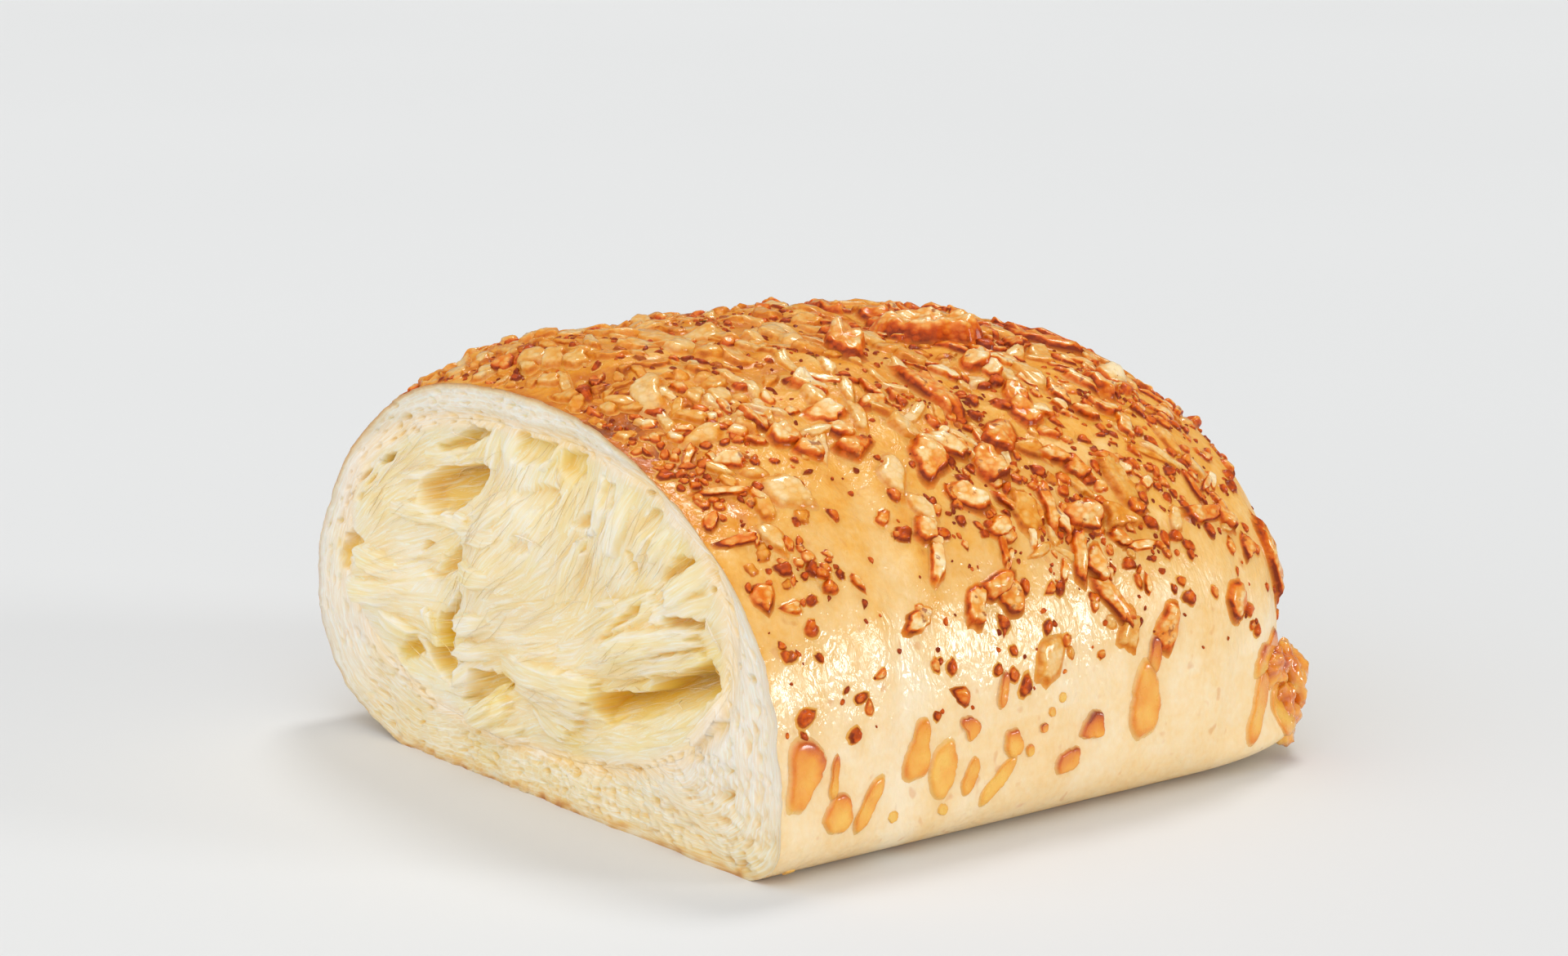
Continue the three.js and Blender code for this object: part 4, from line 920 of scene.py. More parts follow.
def face_values(face, x, z):
    """The numbers that colour the cut at places on it, with painted shade for its hollows and cavities."""
    values = {key: read_map(face[key], x, z) for key in ("cavity_shade", "ridge", "warm", "gold", "core")}
    # Painted shade that darkens and yellows the crumb with the depth of the hollows
    values["deep"] = clamp01(-read_map(face["rise"], x, z) / CAVITY_SHADE["hollow"])
    values["seam"] = bump(filling_share(x, z) - 1, SKIN["seam"])
    values["low"] = smooth(*SKIN["low"], z)
    spots = noise(x / SKIN["spot_size"][0], z / SKIN["spot_size"][1], seed=62)
    at_crust = smooth(SKIN["reach"], 0, read_map(face["out"], x, z))
    values["skin"] = np.maximum(at_crust * (SKIN["least"] + SKIN["more"] * smooth(*SKIN["above"], z)),
                                smooth(*SKIN["base"], z) * (SKIN["base_share"] + SKIN["spots"] * spots))
    return values


def strand_corners(face, points, groups):
    """Steps across and along the fibres at each corner of each face, by the fibres that cover its middle."""
    found = []
    for group in groups:
        corners = points[group]
        x, z = corners[..., 0], corners[..., 2]
        column, row = map_cell(x.mean(axis=1), z.mean(axis=1), face["which"].shape)
        which = face["which"][row.astype(int), column.astype(int)][:, None]
        frames = np.moveaxis(face["frames"][which], -1, 0)
        u, v = along_fibres(frames, x, z)
        own = np.stack([v + frames[4], u, np.zeros_like(u)], axis=-1)
        rim = read_map(face["rim_strand"], x, z)
        found.append(np.where((which > 0)[..., None], own, rim).reshape(-1, 3))
    return np.concatenate(found)


def filling_outline(y, angle):
    """Points of the filling's side, at places behind the cut and angles round it."""
    t = clamp01((y - TAPER["starts"]) / (FILLING["depth"] - TAPER["starts"]))
    fade = np.power(1 - np.power(np.minimum(t, TAPER["most"]), TAPER["roundness"]), 1 / TAPER["roundness"])
    radius = super_radius(angle, FILLING["half_width"] * fade, FILLING["half_height"] * fade,
                          FILLING["roundness"])
    x, z = FILLING["x"] + radius * np.cos(angle), FILLING["z"] + radius * np.sin(angle)
    return np.stack([x, np.broadcast_to(y, np.shape(radius)), z], axis=-1)


def filling_stations():
    """Places behind the cut of the filling's rings."""
    run, last = FILLING["depth"] - TAPER["starts"], FILLING_RINGS - 1
    return [FILLING_FACE_START] + [TAPER["starts"] + run * math.sin(i / last * math.pi / 2)
                                   for i in range(FILLING_RINGS)]


def make_filling(face):
    """The pulled core: a fine torn face, and plain sides that run back through the roll."""
    columns, rows = FILLING_MESH["across"] + 1, FILLING_MESH["upright"] + 1
    u, v = np.meshgrid(np.linspace(-1, 1, columns), np.linspace(-1, 1, rows))
    disc_x, disc_z = u * np.sqrt(1 - v * v / 2), v * np.sqrt(1 - u * u / 2)
    bearing = np.arctan2(disc_z * FILLING["half_height"], disc_x * FILLING["half_width"])
    edge = super_radius(bearing, FILLING["half_width"], FILLING["half_height"], FILLING["roundness"])
    reach = np.hypot(disc_x, disc_z) * edge
    x, z = FILLING["x"] + reach * np.cos(bearing), FILLING["z"] + reach * np.sin(bearing)
    front = np.stack([x, -read_map(face["rise"], x, z), z], axis=-1).reshape(-1, 3)
    index = np.arange(columns * rows).reshape(rows, columns)
    quads = np.stack([index[:-1, :-1], index[:-1, 1:], index[1:, 1:], index[1:, :-1]], axis=-1).reshape(-1, 4)
    border = np.concatenate([index[0, :-1], index[:-1, -1], index[-1, :0:-1], index[:0:-1, 0]])
    angles = bearing_of(front[border, 0], front[border, 2])
    rings = [filling_outline(y, angles) for y in filling_stations()]
    points = np.concatenate([front, *rings, [[FILLING["x"], FILLING["depth"], FILLING["z"]]]])
    around, first = len(border), len(front)
    following = np.roll(np.arange(around), -1)
    joined = np.stack([border, first + np.arange(around), first + following, border[following]], axis=1)
    sides = ring_faces(len(rings), around, first)[:, ::-1]
    last = first + (len(rings) - 1) * around
    cap = closing_fan(last, around, len(points) - 1)[:, ::-1]
    values = face_values(face, points[:, 0], points[:, 2])
    values["deep"][first:] = FILLING_SIDE_DEEP
    groups = [quads, joined, sides, cap]
    values["strand"] = strand_corners(face, points, groups)
    return make_piece("pulled_filling", points, groups, values,
                      replaces="cheese_filling")


def make_rim(face):
    """The cut rim of dense crumb, and the pocket behind it that holds the filling."""
    around, across = RIM_MESH["around"], RIM_MESH["across"]
    angles = even_angles(around)
    outer = crust_points(np.zeros(around), angles)
    bearing = bearing_of(outer[:, 0], outer[:, 2])
    inner = filling_outline(0.0, bearing)
    share = np.linspace(0, 1, across + 1)[:, None]
    x = outer[:, 0] * (1 - share) + inner[:, 0] * share
    z = outer[:, 2] * (1 - share) + inner[:, 2] * share
    rise = read_map(face["rise"], x, z) + cut_edge(angles) * (1 - smooth(0, RIM["edge_share"], share))
    rings = [np.stack([x[i], -rise[i], z[i]], axis=-1) for i in range(across + 1)]
    middle = np.array([FILLING["x"], 0, FILLING["z"]])
    tucked = (inner - middle) * (RIM["tuck"], 0, RIM["tuck"]) + middle
    tucked[:, 1] = -read_map(face["rise"], tucked[:, 0], tucked[:, 2]) + RIM["tuck_depth"]
    rings.append(tucked)
    rings += [filling_outline(y, bearing) for y in filling_stations()]
    points = np.concatenate([*rings, [[FILLING["x"], FILLING["depth"], FILLING["z"]]]])
    values = face_values(face, points[:, 0], points[:, 2])
    cap = closing_fan((len(rings) - 1) * around, around, len(points) - 1)
    groups = [ring_faces(len(rings), around), cap]
    values["strand"] = strand_corners(face, points, groups)
    return make_piece("crumb_rim", points, groups, values,
                      replaces="bread")


# Cheese on the crust

def random_stream(seed):
    """The stream of numbers from 0 to 1 that strews the pieces of the solids."""
    state = seed
    while True:
        state = state * STREAM["factor"] % STREAM["modulus"]
        yield state / STREAM["modulus"]


def cheese_cover(y, degrees):
    """How thickly the grated cheese lies, from 0 to 1."""
    from_ridge = np.abs(degrees - RIDGE_COVER["middle"])
    cover = RIDGE_COVER["share"] * (1 - smooth(RIDGE_COVER["full"], RIDGE_COVER["none"], from_ridge))
    cover = cover * (1 - (1 - RIDGE_COVER["left"]) * smooth(*RIDGE_COVER["thins"], y))
    for place, along, middle, round_it, share in COVER_PATCHES:
        cover = np.maximum(cover, share * bump(y - place, along) * bump(degrees - middle, round_it))
    low = 1 - smooth(*BARE_SEAM["below"], degrees)
    return cover * (1 - BARE_SEAM["share"] * bump(y - BARE_SEAM["y"], BARE_SEAM["along"]) * low)


def patch_cover(y, degrees, patches):
    """How thickly pieces lie in the patches that they are kept to."""
    return max(share * bump(y - place, along) * bump(degrees - middle, round_it)
               for place, along, middle, round_it, share in patches)


def strewn_as_solids():
    """The strewn pieces of the solids, drawn by the same stream of numbers."""
    stream = random_stream(STREWN_SEED)
    pick = lambda least, most: least + next(stream) * (most - least)
    placed = [(y, degrees, length / 2) for y, degrees, _, length, _, _ in PLACED_FLAKES]
    placed += [(y, degrees, length / 2) for y, degrees, length in MELTED_DROPS]
    spots = [roll_points(y, math.radians(degrees)) for y, degrees, _ in placed]
    halves = [half for _, _, half in placed]
    pieces = []
    for count, lengths, width, height, turn in STREWN_CHEESE:
        left = count
        for _ in range(STREWN_TRIES):
            if not left:
                break
            y = pick(*STREWN_AREA["y"])
            degrees = pick(*STREWN_AREA["degrees"])
            length = pick(*lengths)
            heading = 90 + pick(-turn, turn)
            keep = next(stream) < cheese_cover(y, degrees)
            if not keep or y - length / 2 <= CUT_MARGIN:
                continue
            spot = roll_points(y, math.radians(degrees))
            gaps = np.linalg.norm(np.array(spots) - spot, axis=1)
            if np.all(gaps > STREWN_SPACE * (np.array(halves) + length / 2)):
                spots.append(spot)
                halves.append(length / 2)
                pieces.append((y, degrees, heading, length, width * length, height * length))
                left -= 1
    return pieces, spots, halves


def strew_fine(spots, halves, rng):
    """Finer pieces of each kind, kept a little apart."""
    found = {}
    for kind, (count, lengths, widths, heights, space, stray) in FINE_CHEESE.items():
        found[kind] = []
        while len(found[kind]) < count:
            y, degrees = rng.uniform(*FINE_AREA["y"]), rng.uniform(*FINE_AREA["degrees"])
            share = patch_cover(y, degrees, BEAD_PATCHES)
            if kind != "beads":
                share = max(cheese_cover(y, degrees), patch_cover(y, degrees, FINE_PATCHES))
            spot = roll_points(y, math.radians(degrees))
            clump = CLUSTERS["middle"] + CLUSTERS["contrast"] * fractal(*(spot / CLUSTERS["size"]), seed=68)
            if rng.random() > max(share * clamp01(clump), stray):
                continue
            length = rng.uniform(*lengths)
            gaps = np.linalg.norm(np.array(spots) - spot, axis=1)
            crowded = np.any(gaps < space * (np.array(halves) + length / 2))
            if y - length / 2 < FINE_AREA["from_cut"] or crowded:
                continue
            spots.append(spot)
            halves.append(length / 2)
            found[kind].append((y, degrees, 90 + rng.normal(0, FINE_AREA["turn"]), length,
                                length * rng.uniform(*widths), length * rng.uniform(*heights)))
    return found


def outline_radius(theta, kind, rng):
    """An uneven outline with straight stretches and rounded corners, about one unit in radius."""
    edges = kind["edges"]
    facing = 2 * np.pi * np.arange(edges) / edges
    facing = facing + np.radians(kind["jitter"]) * rng.uniform(-1, 1, edges)
    distance = rng.uniform(*OUTLINE["distance"], edges)
    reach = np.maximum(0, np.cos(theta[:, None] - facing)) / distance
    radius = np.power(np.sum(reach ** kind["square"], axis=1), -1 / kind["square"])
    waves = OUTLINE["waves"]
    wavy = noise(waves * np.cos(theta), waves * np.sin(theta), rng.uniform(0, 99))
    return radius * (1 + kind["uneven"] * wavy)


def profile_rings(profile, sides, top):
    """The bearings round a piece, and for its middle and rings: each point's bearing and profile numbers."""
    theta = 2 * np.pi * np.arange(sides) / sides
    around = np.concatenate([[0], np.tile(theta, len(profile))])
    numbers = [np.array([first] + [ring[k] for ring in profile for _ in range(sides)])
               for k, first in enumerate(top)]
    return theta, around, numbers


def browned(kind, upper, rng):
    """How browned a piece is as a whole."""
    return (rng.uniform(*kind["toast"]) + BROWNS["belt_gain"] * smooth(*BROWNS["belt"], upper)
            + BROWNS["ridge_gain"] * smooth(*BROWNS["ridge"], upper))


def side_toast_and_shade(kind, around, share, low_side, seed, melted):
    """How much darker a piece is at its side: part browning and part painted contact shade."""
    side = smooth(0.74, 1.0, share) * (1 - smooth(1.1, 1.34, share)) * (BROWNS["melted"] if melted else 1)
    broken = 0.5 + 0.5 * noise(2.2 * np.cos(around) + seed, 2.2 * np.sin(around), seed=74)
    return (kind["side"] * side
            * (BROWNS["even"] + BROWNS["broken"] * broken + BROWNS["low_side"] * low_side))


def flake_shapes(pieces, kind, rng):
    """The points of each piece as steps along and round the roll with a height, and its numbers."""
    profile = kind["profile"]
    theta, around, (share, tall, added) = profile_rings(profile, kind["sides"], (0, 1, 0))
    rows = []
    for y, degrees, turn, length, width, height in pieces:
        outline = np.concatenate([[0], np.tile(outline_radius(theta, kind, rng), len(profile))])
        seed = rng.uniform(0, 500)
        upper = min(degrees, 180 - degrees)
        more = MELTED_MORE["share"] * smooth(*MELTED_MORE["y"], y) * smooth(*MELTED_MORE["degrees"], upper)
        melted = kind["melts"] > 0 and rng.random() < kind["melts"] + more
        u = length / 2 * share * outline * np.cos(around)
        v = width / 2 * share * outline * np.sin(around)
        v = v + rng.normal(0, LEAN["bend"]) * u * u / max(length, 1) * 2
        crags = fractal(u / ROUGH["crag_size"] + seed, v / ROUGH["crag_size"], seed=71, octaves=2)
        facets = np.abs(noise(u / ROUGH["facet_size"] + seed, v / ROUGH["facet_size"], seed=72))
        facets = facets - ROUGH["facet_level"]
        grain = noise(u / ROUGH["grain_size"] + seed, v / ROUGH["grain_size"], seed=73)
        rough = ROUGH["melted"] * crags if melted else crags + ROUGH["facets"] * facets
        rough = rough + ROUGH["grain"] * grain
        lean = 1 + rng.normal(0, LEAN["along"]) * u / length * 2
        lean = lean + rng.normal(0, LEAN["across"]) * v / width * 2
        level = kind["low"] * (LEAN["melted"] if melted else 1)
        up = (height * level * tall * np.maximum(LEAN["least"], lean)
              * np.maximum(LEAN["lowest"], 1 + kind["crag"] * rough) + added)
        toast = browned(kind, upper, rng)
        # The piece's low side: its skirt spreads further there, and its darker edge is strongest there
        downhill = -1 if degrees < 90 else 1
        heading = math.radians(turn)
        darker = math.atan2(downhill * math.cos(heading), downhill * math.sin(heading))
        low_side = np.maximum(0, np.cos(around - (darker + rng.normal(0, BROWNS["turn"]))))
        # Darker at the side, part browning and part painted contact shade, most on the low side
        toast = (toast + side_toast_and_shade(kind, around, share, low_side, seed, melted)
                 # Paler on high crags and facets and darker in low ones: painted light and shade
                 - BROWNS["crags"] * crags - BROWNS["crags"] * facets)
        toast = np.minimum(toast, rng.uniform(*BROWNS["most"]))
        skirt = 0.5 * smooth(0.98, 1.08, share) + 0.5 * smooth(1.1, 1.3, share)
        spread = 1 + 0.1 * low_side * smooth(1.02, 1.2, share)
        rows.append((y, degrees, turn, u * spread, v * spread, up, toast, skirt, np.full_like(u, melted)))
    return rows


def kind_of(piece):
    """The kind of a placed or strewn piece, by its length and width."""
    length, width = piece[3], piece[4]
    if length > KIND_SIZES["disc"][0] and width > KIND_SIZES["disc"][1]:
        return "disc"
    if width < KIND_SIZES["shreds"] * length:
        return "shreds"
    return "chips" if length > KIND_SIZES["chips"] else "granules"


def broken_up(pieces, rng):
    """The pieces with most of the long shreds as rows of chips."""
    parts = []
    for piece in pieces:
        y, degrees, turn, length, width, height = piece
        count = round(length / BROKEN["length"])
        if kind_of(piece) != "shreds" or count < 2 or rng.random() > BROKEN["share"]:
            parts.append(piece)
            continue
        along, round_it, _ = surface_steps(np.array(y, float), math.radians(degrees))
        heading = math.radians(turn)
        for k in range(count):
            step = length * ((k + 0.5) / count - 0.5)
            parts.append((y + step * math.cos(heading) / np.linalg.norm(along),
                          degrees + math.degrees(step * math.sin(heading) / np.linalg.norm(round_it)),
                          turn + rng.normal(0, BROKEN["turn"]),
                          BROKEN["overlap"] * length / count * rng.uniform(*BROKEN["lengths"]),
                          width * rng.uniform(*BROKEN["widths"]), height * rng.uniform(*BROKEN["heights"])))
    return parts


def lay_on_crust(name, rows, rings, sides):
    """Pieces given as steps along and round the roll, as one mesh that follows the crust."""
    y = np.array([row[0] for row in rows])
    angle = np.radians([row[1] for row in rows])
    turn = np.radians([row[2] for row in rows])[:, None]
    u, v, up, toast, skirt, melted = (np.array([row[k] for row in rows]) for k in range(3, 9))
    size = u.shape[1]
    along, round_it, _ = surface_steps(y, angle)
    step_y = (u * np.cos(turn) - v * np.sin(turn)) / np.linalg.norm(along, axis=1)[:, None]
    step_angle = (u * np.sin(turn) + v * np.cos(turn)) / np.linalg.norm(round_it, axis=1)[:, None]
    place = np.clip(y[:, None] + step_y, *ON_CRUST)
    turned_to = angle[:, None] + step_angle
    swell = crust_swell(crust_points(place, turned_to), np.degrees(turned_to))[0]
    points = crust_points(place, turned_to, up + swell).reshape(-1, 3)
    fan = closing_fan(1, sides, 0)
    quads = ring_faces(rings, sides, 1)[:, ::-1]
    starts = size * np.arange(len(rows))[:, None, None]
    groups = [(fan[None] + starts).reshape(-1, 3), (quads[None] + starts).reshape(-1, 4)]
    values = {"toast": toast.ravel(), "skirt": skirt.ravel(), "melted": melted.ravel()}
    return make_piece(name, points, groups, values, replaces="bread")


def make_flakes(name, pieces, kind_name, rng):
    """All pieces of one kind as one mesh."""
    kind = KINDS[kind_name]
    return lay_on_crust(name, flake_shapes(pieces, kind, rng), len(kind["profile"]), kind["sides"])


def drip_radius(corners, theta):
    """How far a drop's outline reaches at each bearing, with its corners softened."""
    radius = np.full(theta.shape, 0.3)
    for (cx, cy), (dx, dy) in zip(corners, np.roll(corners, -1, axis=0) - corners):
        across = np.cos(theta) * dy - np.sin(theta) * dx
        across = np.where(np.abs(across) < TINY, TINY, across)
        reach = (cx * dy - cy * dx) / across
        step = (cx * np.sin(theta) - cy * np.cos(theta)) / across
        radius = np.where((step >= 0) & (step <= 1) & (reach > 0), np.maximum(radius, reach), radius)
    large = np.max(np.abs(corners)) > DRIP["small"]
    for _ in range(DRIP["softened"] if large else DRIP["small_softened"]):
        radius = (np.roll(radius, 1) + 2 * radius + np.roll(radius, -1)) / 4
    return radius


def make_drips(rng):
    """The melted drops and flat spots on the flank."""
    theta, around, (share, tall) = profile_rings(DRIP_PROFILE, DRIP["sides"], (0, DRIP["middle"]))
    rows = []
    for y, degrees, height, toasted, outline in DRIPS:
        corners = np.array(outline)
        seed = rng.uniform(0, 500)
        uneven = DRIP["uneven"] * fractal(2.6 * np.cos(theta) + seed, 2.6 * np.sin(theta), seed=75)
        radius = drip_radius(corners, theta) * (1 + uneven)
        outer = np.concatenate([[0], np.tile(radius, len(DRIP_PROFILE))])
        u, v = share * outer * np.cos(around), -share * outer * np.sin(around)
        swell = 0.8 + DRIP["swell"] * fractal(u / 1.6 + seed, v / 1.6, seed=76)
        up = height * tall * swell - DRIP["sunk"] * (share > 1)
        high = v / max(abs(corners[:, 1]))
        spots = DRIP["spots"] * noise(u / 1.2 + seed, v / 1.2, seed=77)
        toast = toasted + DRIP["high"] * high * (toasted > 0.3) + spots
        toast = toast + DRIP["edge"] * bump(share - 0.88, 0.1)
        toast = toast - DRIP["pale_middle"] * smooth(0.8, 0.3, share)
        skirt = smooth(0.9, 1.08, share)
        rows.append((y, degrees, 0, u, v, up, toast, skirt, np.ones_like(u)))
    return lay_on_crust("melted_drops", rows, len(DRIP_PROFILE), DRIP["sides"])


def upper_cover(y, degrees):
    """How thickly the cheese lies, at any angle round the roll; none lies on its lower half."""
    return cheese_cover(y, np.clip(degrees, 0, 180)) * (degrees < 180)


def halo_map(points, spots, halves):
    """How close each crust point lies to a piece of cheese, from 0 to 1."""
    spots, reach = np.array(spots), HALO["share"] * np.array(halves) + HALO["more"]
    near = np.zeros(len(points))
    for start in range(0, len(points), HALO["at_once"]):
        some = slice(start, start + HALO["at_once"])
        gap = np.linalg.norm(points[some, None] - spots[None], axis=2)
        near[some] = np.max(np.exp(-((gap / reach) ** 2)), axis=1)
    return near


def bake_map(points, angle, near):
    """How dark the crust is baked, from 0, cream, to 1, dark brown."""
    x, y, z = points.T
    degrees = np.degrees(angle)
    upper = np.where(degrees > 180, 0, np.minimum(degrees, 180 - degrees))
    at_end = smooth(*END_BAKE["starts"], y)
    upper = upper * (1 - at_end) + END_BAKE["degrees_per_mm"] * (z - BELT["end"]) * at_end
    upper = upper + END_BAKE["wander"] * fractal(x / 9, y / 9, z / 9, seed=89)
    bake = BAKE["least"] + sum(gain * smooth(low, high, upper) for gain, low, high in BAKE["steps"])
    bake = bake + BAKE["cloud"] * fractal(*(points.T / BAKE["cloud_size"]), seed=81)
    streaks = noise(y / BAKE["streak_size"][0], degrees / BAKE["streak_size"][1], seed=82)
    bake = bake + BAKE["streaks"] * streaks * smooth(0, 8, z)
    seam = y - SEAMS[0][0] - SEAMS[0][1] * np.sin(angle)
    for gain, place, half, low, high in SEAM_BAKE:
        bake = bake + gain * bump(seam - place, half) * smooth(low, high, upper)
    bake = bake + BAKE["cover"] * upper_cover(y, degrees) + BAKE["near"] * near
    band = smooth(*BAKE["band_ends"], y) * bump(upper - BAKE["band_middle"], BAKE["band_half"])
    bake = bake + BAKE["band"] * band + BAKE["edge"] * smooth(0.7, 0.1, y)
    line = smooth(1.1, 0.2, z) * (0.5 + 0.5 * noise(x / 3, y / 3, seed=83))
    under = (z < 0.05) * (BAKE["base"] + BAKE["base_cloud"] * fractal(x / 6, y / 6, seed=84))
    return clamp01(np.maximum(bake + BAKE["line"] * line, under))


def crust_swell(points, degrees):
    """How far melted cheese and uneven glaze lift the crust, in millimetres, and how much has melted."""
    place = np.moveaxis(points, -1, 0)
    covered = upper_cover(place[1], np.mod(degrees, 360))
    melt = np.maximum(0, MELT["least"] + fractal(*(place / MELT["size"]), seed=86))
    melt = melt * smooth(*MELT["cover"], covered)
    lift = MELT["rise"] * melt + MELT["glaze"] * noise(*(place / MELT["glaze_size"]), seed=87)
    lift = lift * smooth(*MELT["off_base"], place[2]) * smooth(*MELT["off_cut"], place[1])
    return lift, melt * (covered > MELT["cover"][0])


def gloss_map(points, angle):
    """How much the glaze shines, from 0 to 1."""
    upper = np.degrees(np.minimum(angle, np.abs(np.pi - angle)))
    gloss = 1 - GLOSS["far"] * smooth(*GLOSS["far_starts"], points[:, 1])
    gloss = gloss + GLOSS["cloud"] * noise(*(points.T / GLOSS["cloud_size"]), seed=88)
    return clamp01(gloss - GLOSS["above"] * smooth(*GLOSS["above_ends"], upper))


def crust_grid():
    """Places behind the cut and angles round the section of the crust's points."""
    plan = CRUST_MESH
    straight = STRAIGHT * np.arange(plan["straight"]) / plan["straight"]
    turn = (np.arange(plan["end"], 0, -1) - 1 + plan["tip"]) / plan["end"] * np.pi / 2
    end = STRAIGHT + (LENGTH - STRAIGHT) * np.power(np.cos(turn), 2 / ROUNDNESS["plan"])
    return np.meshgrid(np.concatenate([straight, end]), even_angles(plan["around"]), indexing="ij")


def make_crust(spots, halves):
    """The glazed crust, from the cut round the far end."""
    y, angle = crust_grid()
    rings, around = y.shape
    rows = crust_points(y, angle)
    rows[..., 1] -= cut_edge(angle) * smooth(2.2, 0, y)
    tip = crust_points(LENGTH, 0.0)
    points = np.concatenate([rows.reshape(-1, 3), tip[None]])
    angle_at = np.concatenate([angle.ravel(), [0]])
    near = halo_map(points, spots, halves)
    film = MELT["film"] * fractal(*(points.T / MELT["film_size"]), seed=85) * (MELT["film_least"] + near)
    film = film * smooth(*MELT["off_base"], points[:, 2]) * smooth(*MELT["off_cut"], points[:, 1])
    swell, melt = crust_swell(points, np.degrees(angle_at))
    bake = bake_map(points, angle_at, near) - BAKE["under_melt"] * smooth(0.1, 0.8, melt)
    values = {"bake": clamp01(bake), "gloss": gloss_map(points, angle_at)}
    off_tip = smooth(*MELT["off_tip"], np.linalg.norm(points - tip, axis=1))
    normal = surface_steps(y, angle)[2].reshape(-1, 3)
    points[:-1] += normal * ((film + swell) * off_tip)[:-1, None]
    quads = ring_faces(rings, around)[:, ::-1]
    cap = closing_fan((rings - 1) * around, around, len(points) - 1)[:, ::-1]
    return make_piece("glazed_crust", points, [quads, cap], values, replaces="bread")


def make_lump():
    """The browned lump of cheese on the corner of the far end."""
    form = LUMP_FORM
    points, faces, toast = [], [], []
    for middle, half in TIP_LUMP:
        shape = bmesh.new()
        bmesh.ops.create_icosphere(shape, subdivisions=form["fineness"], radius=1)
        ball = np.array([vertex.co for vertex in shape.verts])
        corners = np.array([[vertex.index for vertex in face.verts] for face in shape.faces])
        faces.append(corners + sum(map(len, points)))
        shape.free()
        waves = ball * form["swell_waves"]
        swell = form["swell"] * wave(waves[:, 0] + middle[0], waves[:, 1], waves[:, 2])
        place = np.array(middle) + ball * half * (1 + swell)[:, None]
        crags = fractal(*(place / form["crag_size"]).T, seed=91)
        place = place + ball * (form["crags"] * crags)[:, None]
        points.append(place)
        # Paler on the high crags and darker in the low ones, as painted light and shade, with patches of
        # browning
        toast.append(0.5 - 0.5 * crags + 0.5 * fractal(*(place / form["toast_size"]).T, seed=95))
    points = np.concatenate(points)
    points[:, 2] = np.maximum(points[:, 2], 0)
    values = {"toast": np.concatenate(toast), "skirt": np.zeros(len(points))}
    return make_piece("tip_lump", points, [np.concatenate(faces)], values, replaces="bread")


def hair_course(start, end, t):
    """A placed hair's course on the cut, from end to end and bowed a little to the side."""
    (ax, az), (bx, bz) = start, end
    bow = STRANDS["bow"] * np.sin(np.pi * t)
    return ax + (bx - ax) * t - (bz - az) * bow, az + (bz - az) * t + (bx - ax) * bow


def strand_courses(rng, t):
    """The courses of placed hairs and of strewn fibres, with their arch and thickness."""
    courses = [(*hair_course(start, end, t), arch, thick) for start, end, arch, thick in PLACED_HAIRS]
    steps = STRANDS["steps"]
    while len(courses) < STRANDS["count"]:
        x, z = random_place(rng, STRANDS_AREA)
        length = rng.uniform(*STRANDS["length"])
        heading = float(flow_angle(np.array(x), np.array(z))) + rng.normal(0, STRANDS["turn"])
        heading = heading + rng.normal(0, STRANDS["curl"]) * t * length
        x = x + np.cumsum(np.cos(heading)) * length / steps
        z = z + np.cumsum(np.sin(heading)) * length / steps
        if np.max(filling_share(x, z)) <= STRANDS["share"]:
            courses.append((x, z, rng.uniform(0.1, 1) * STRANDS["arch"], rng.uniform(*STRANDS["radius"])))
    return courses


def strand_points(face, course, t):
    """The points of one fibre, in rings that stand off the torn face."""
    x, z, arch, thick = course
    ground = read_map(face["rise"], x, z)
    chord = ground[0] + (ground[-1] - ground[0]) * t
    lift = np.maximum(ground + STRANDS["clear"], chord + arch * np.sin(np.pi * t))
    radius = (thick * np.power(np.sin(np.pi * np.clip(t, 0.06, 0.94)), 0.5))[:, None]
    turn = 2 * np.pi * np.arange(STRANDS["sides"]) / STRANDS["sides"]
    heading = np.arctan2(np.gradient(z), np.gradient(x))[:, None]
    ring = np.stack([x[:, None] - np.sin(heading) * np.cos(turn) * radius,
                     -lift[:, None] + np.sin(turn) * radius,
                     z[:, None] + np.cos(heading) * np.cos(turn) * radius], axis=-1)
    return ring.reshape(-1, 3)


def make_strands(face):
    """Loose fibres that stand off the torn core."""
    rng = np.random.default_rng(FINE_SEED + 1)
    steps, sides = STRANDS["steps"], STRANDS["sides"]
    t = np.linspace(0, 1, steps)
    courses = strand_courses(rng, t)
    points = np.concatenate([strand_points(face, course, t) for course in courses])
    groups = [np.concatenate([ring_faces(steps, sides, k * steps * sides) for k in range(len(courses))])]
    values = face_values(face, points[:, 0], points[:, 2])
    # The loose fibres take less of the painted depth shade than the face below them
    values["deep"] *= STRANDS["deep"]
    values["seam"][:] = 1
    values["strand"] = strand_corners(face, points, groups)
    return make_piece("loose_fibres", points, groups, values,
                      replaces="cheese_filling")


# Materials

def colour(red, green, blue):
    """A colour as seen on a screen, 0 to 255, as the shader wants it."""
    def linear(c):
        c /= 255
        return c / 12.92 if c <= 0.04045 else ((c + 0.055) / 1.055) ** 2.4
    return (linear(red), linear(green), linear(blue), 1)


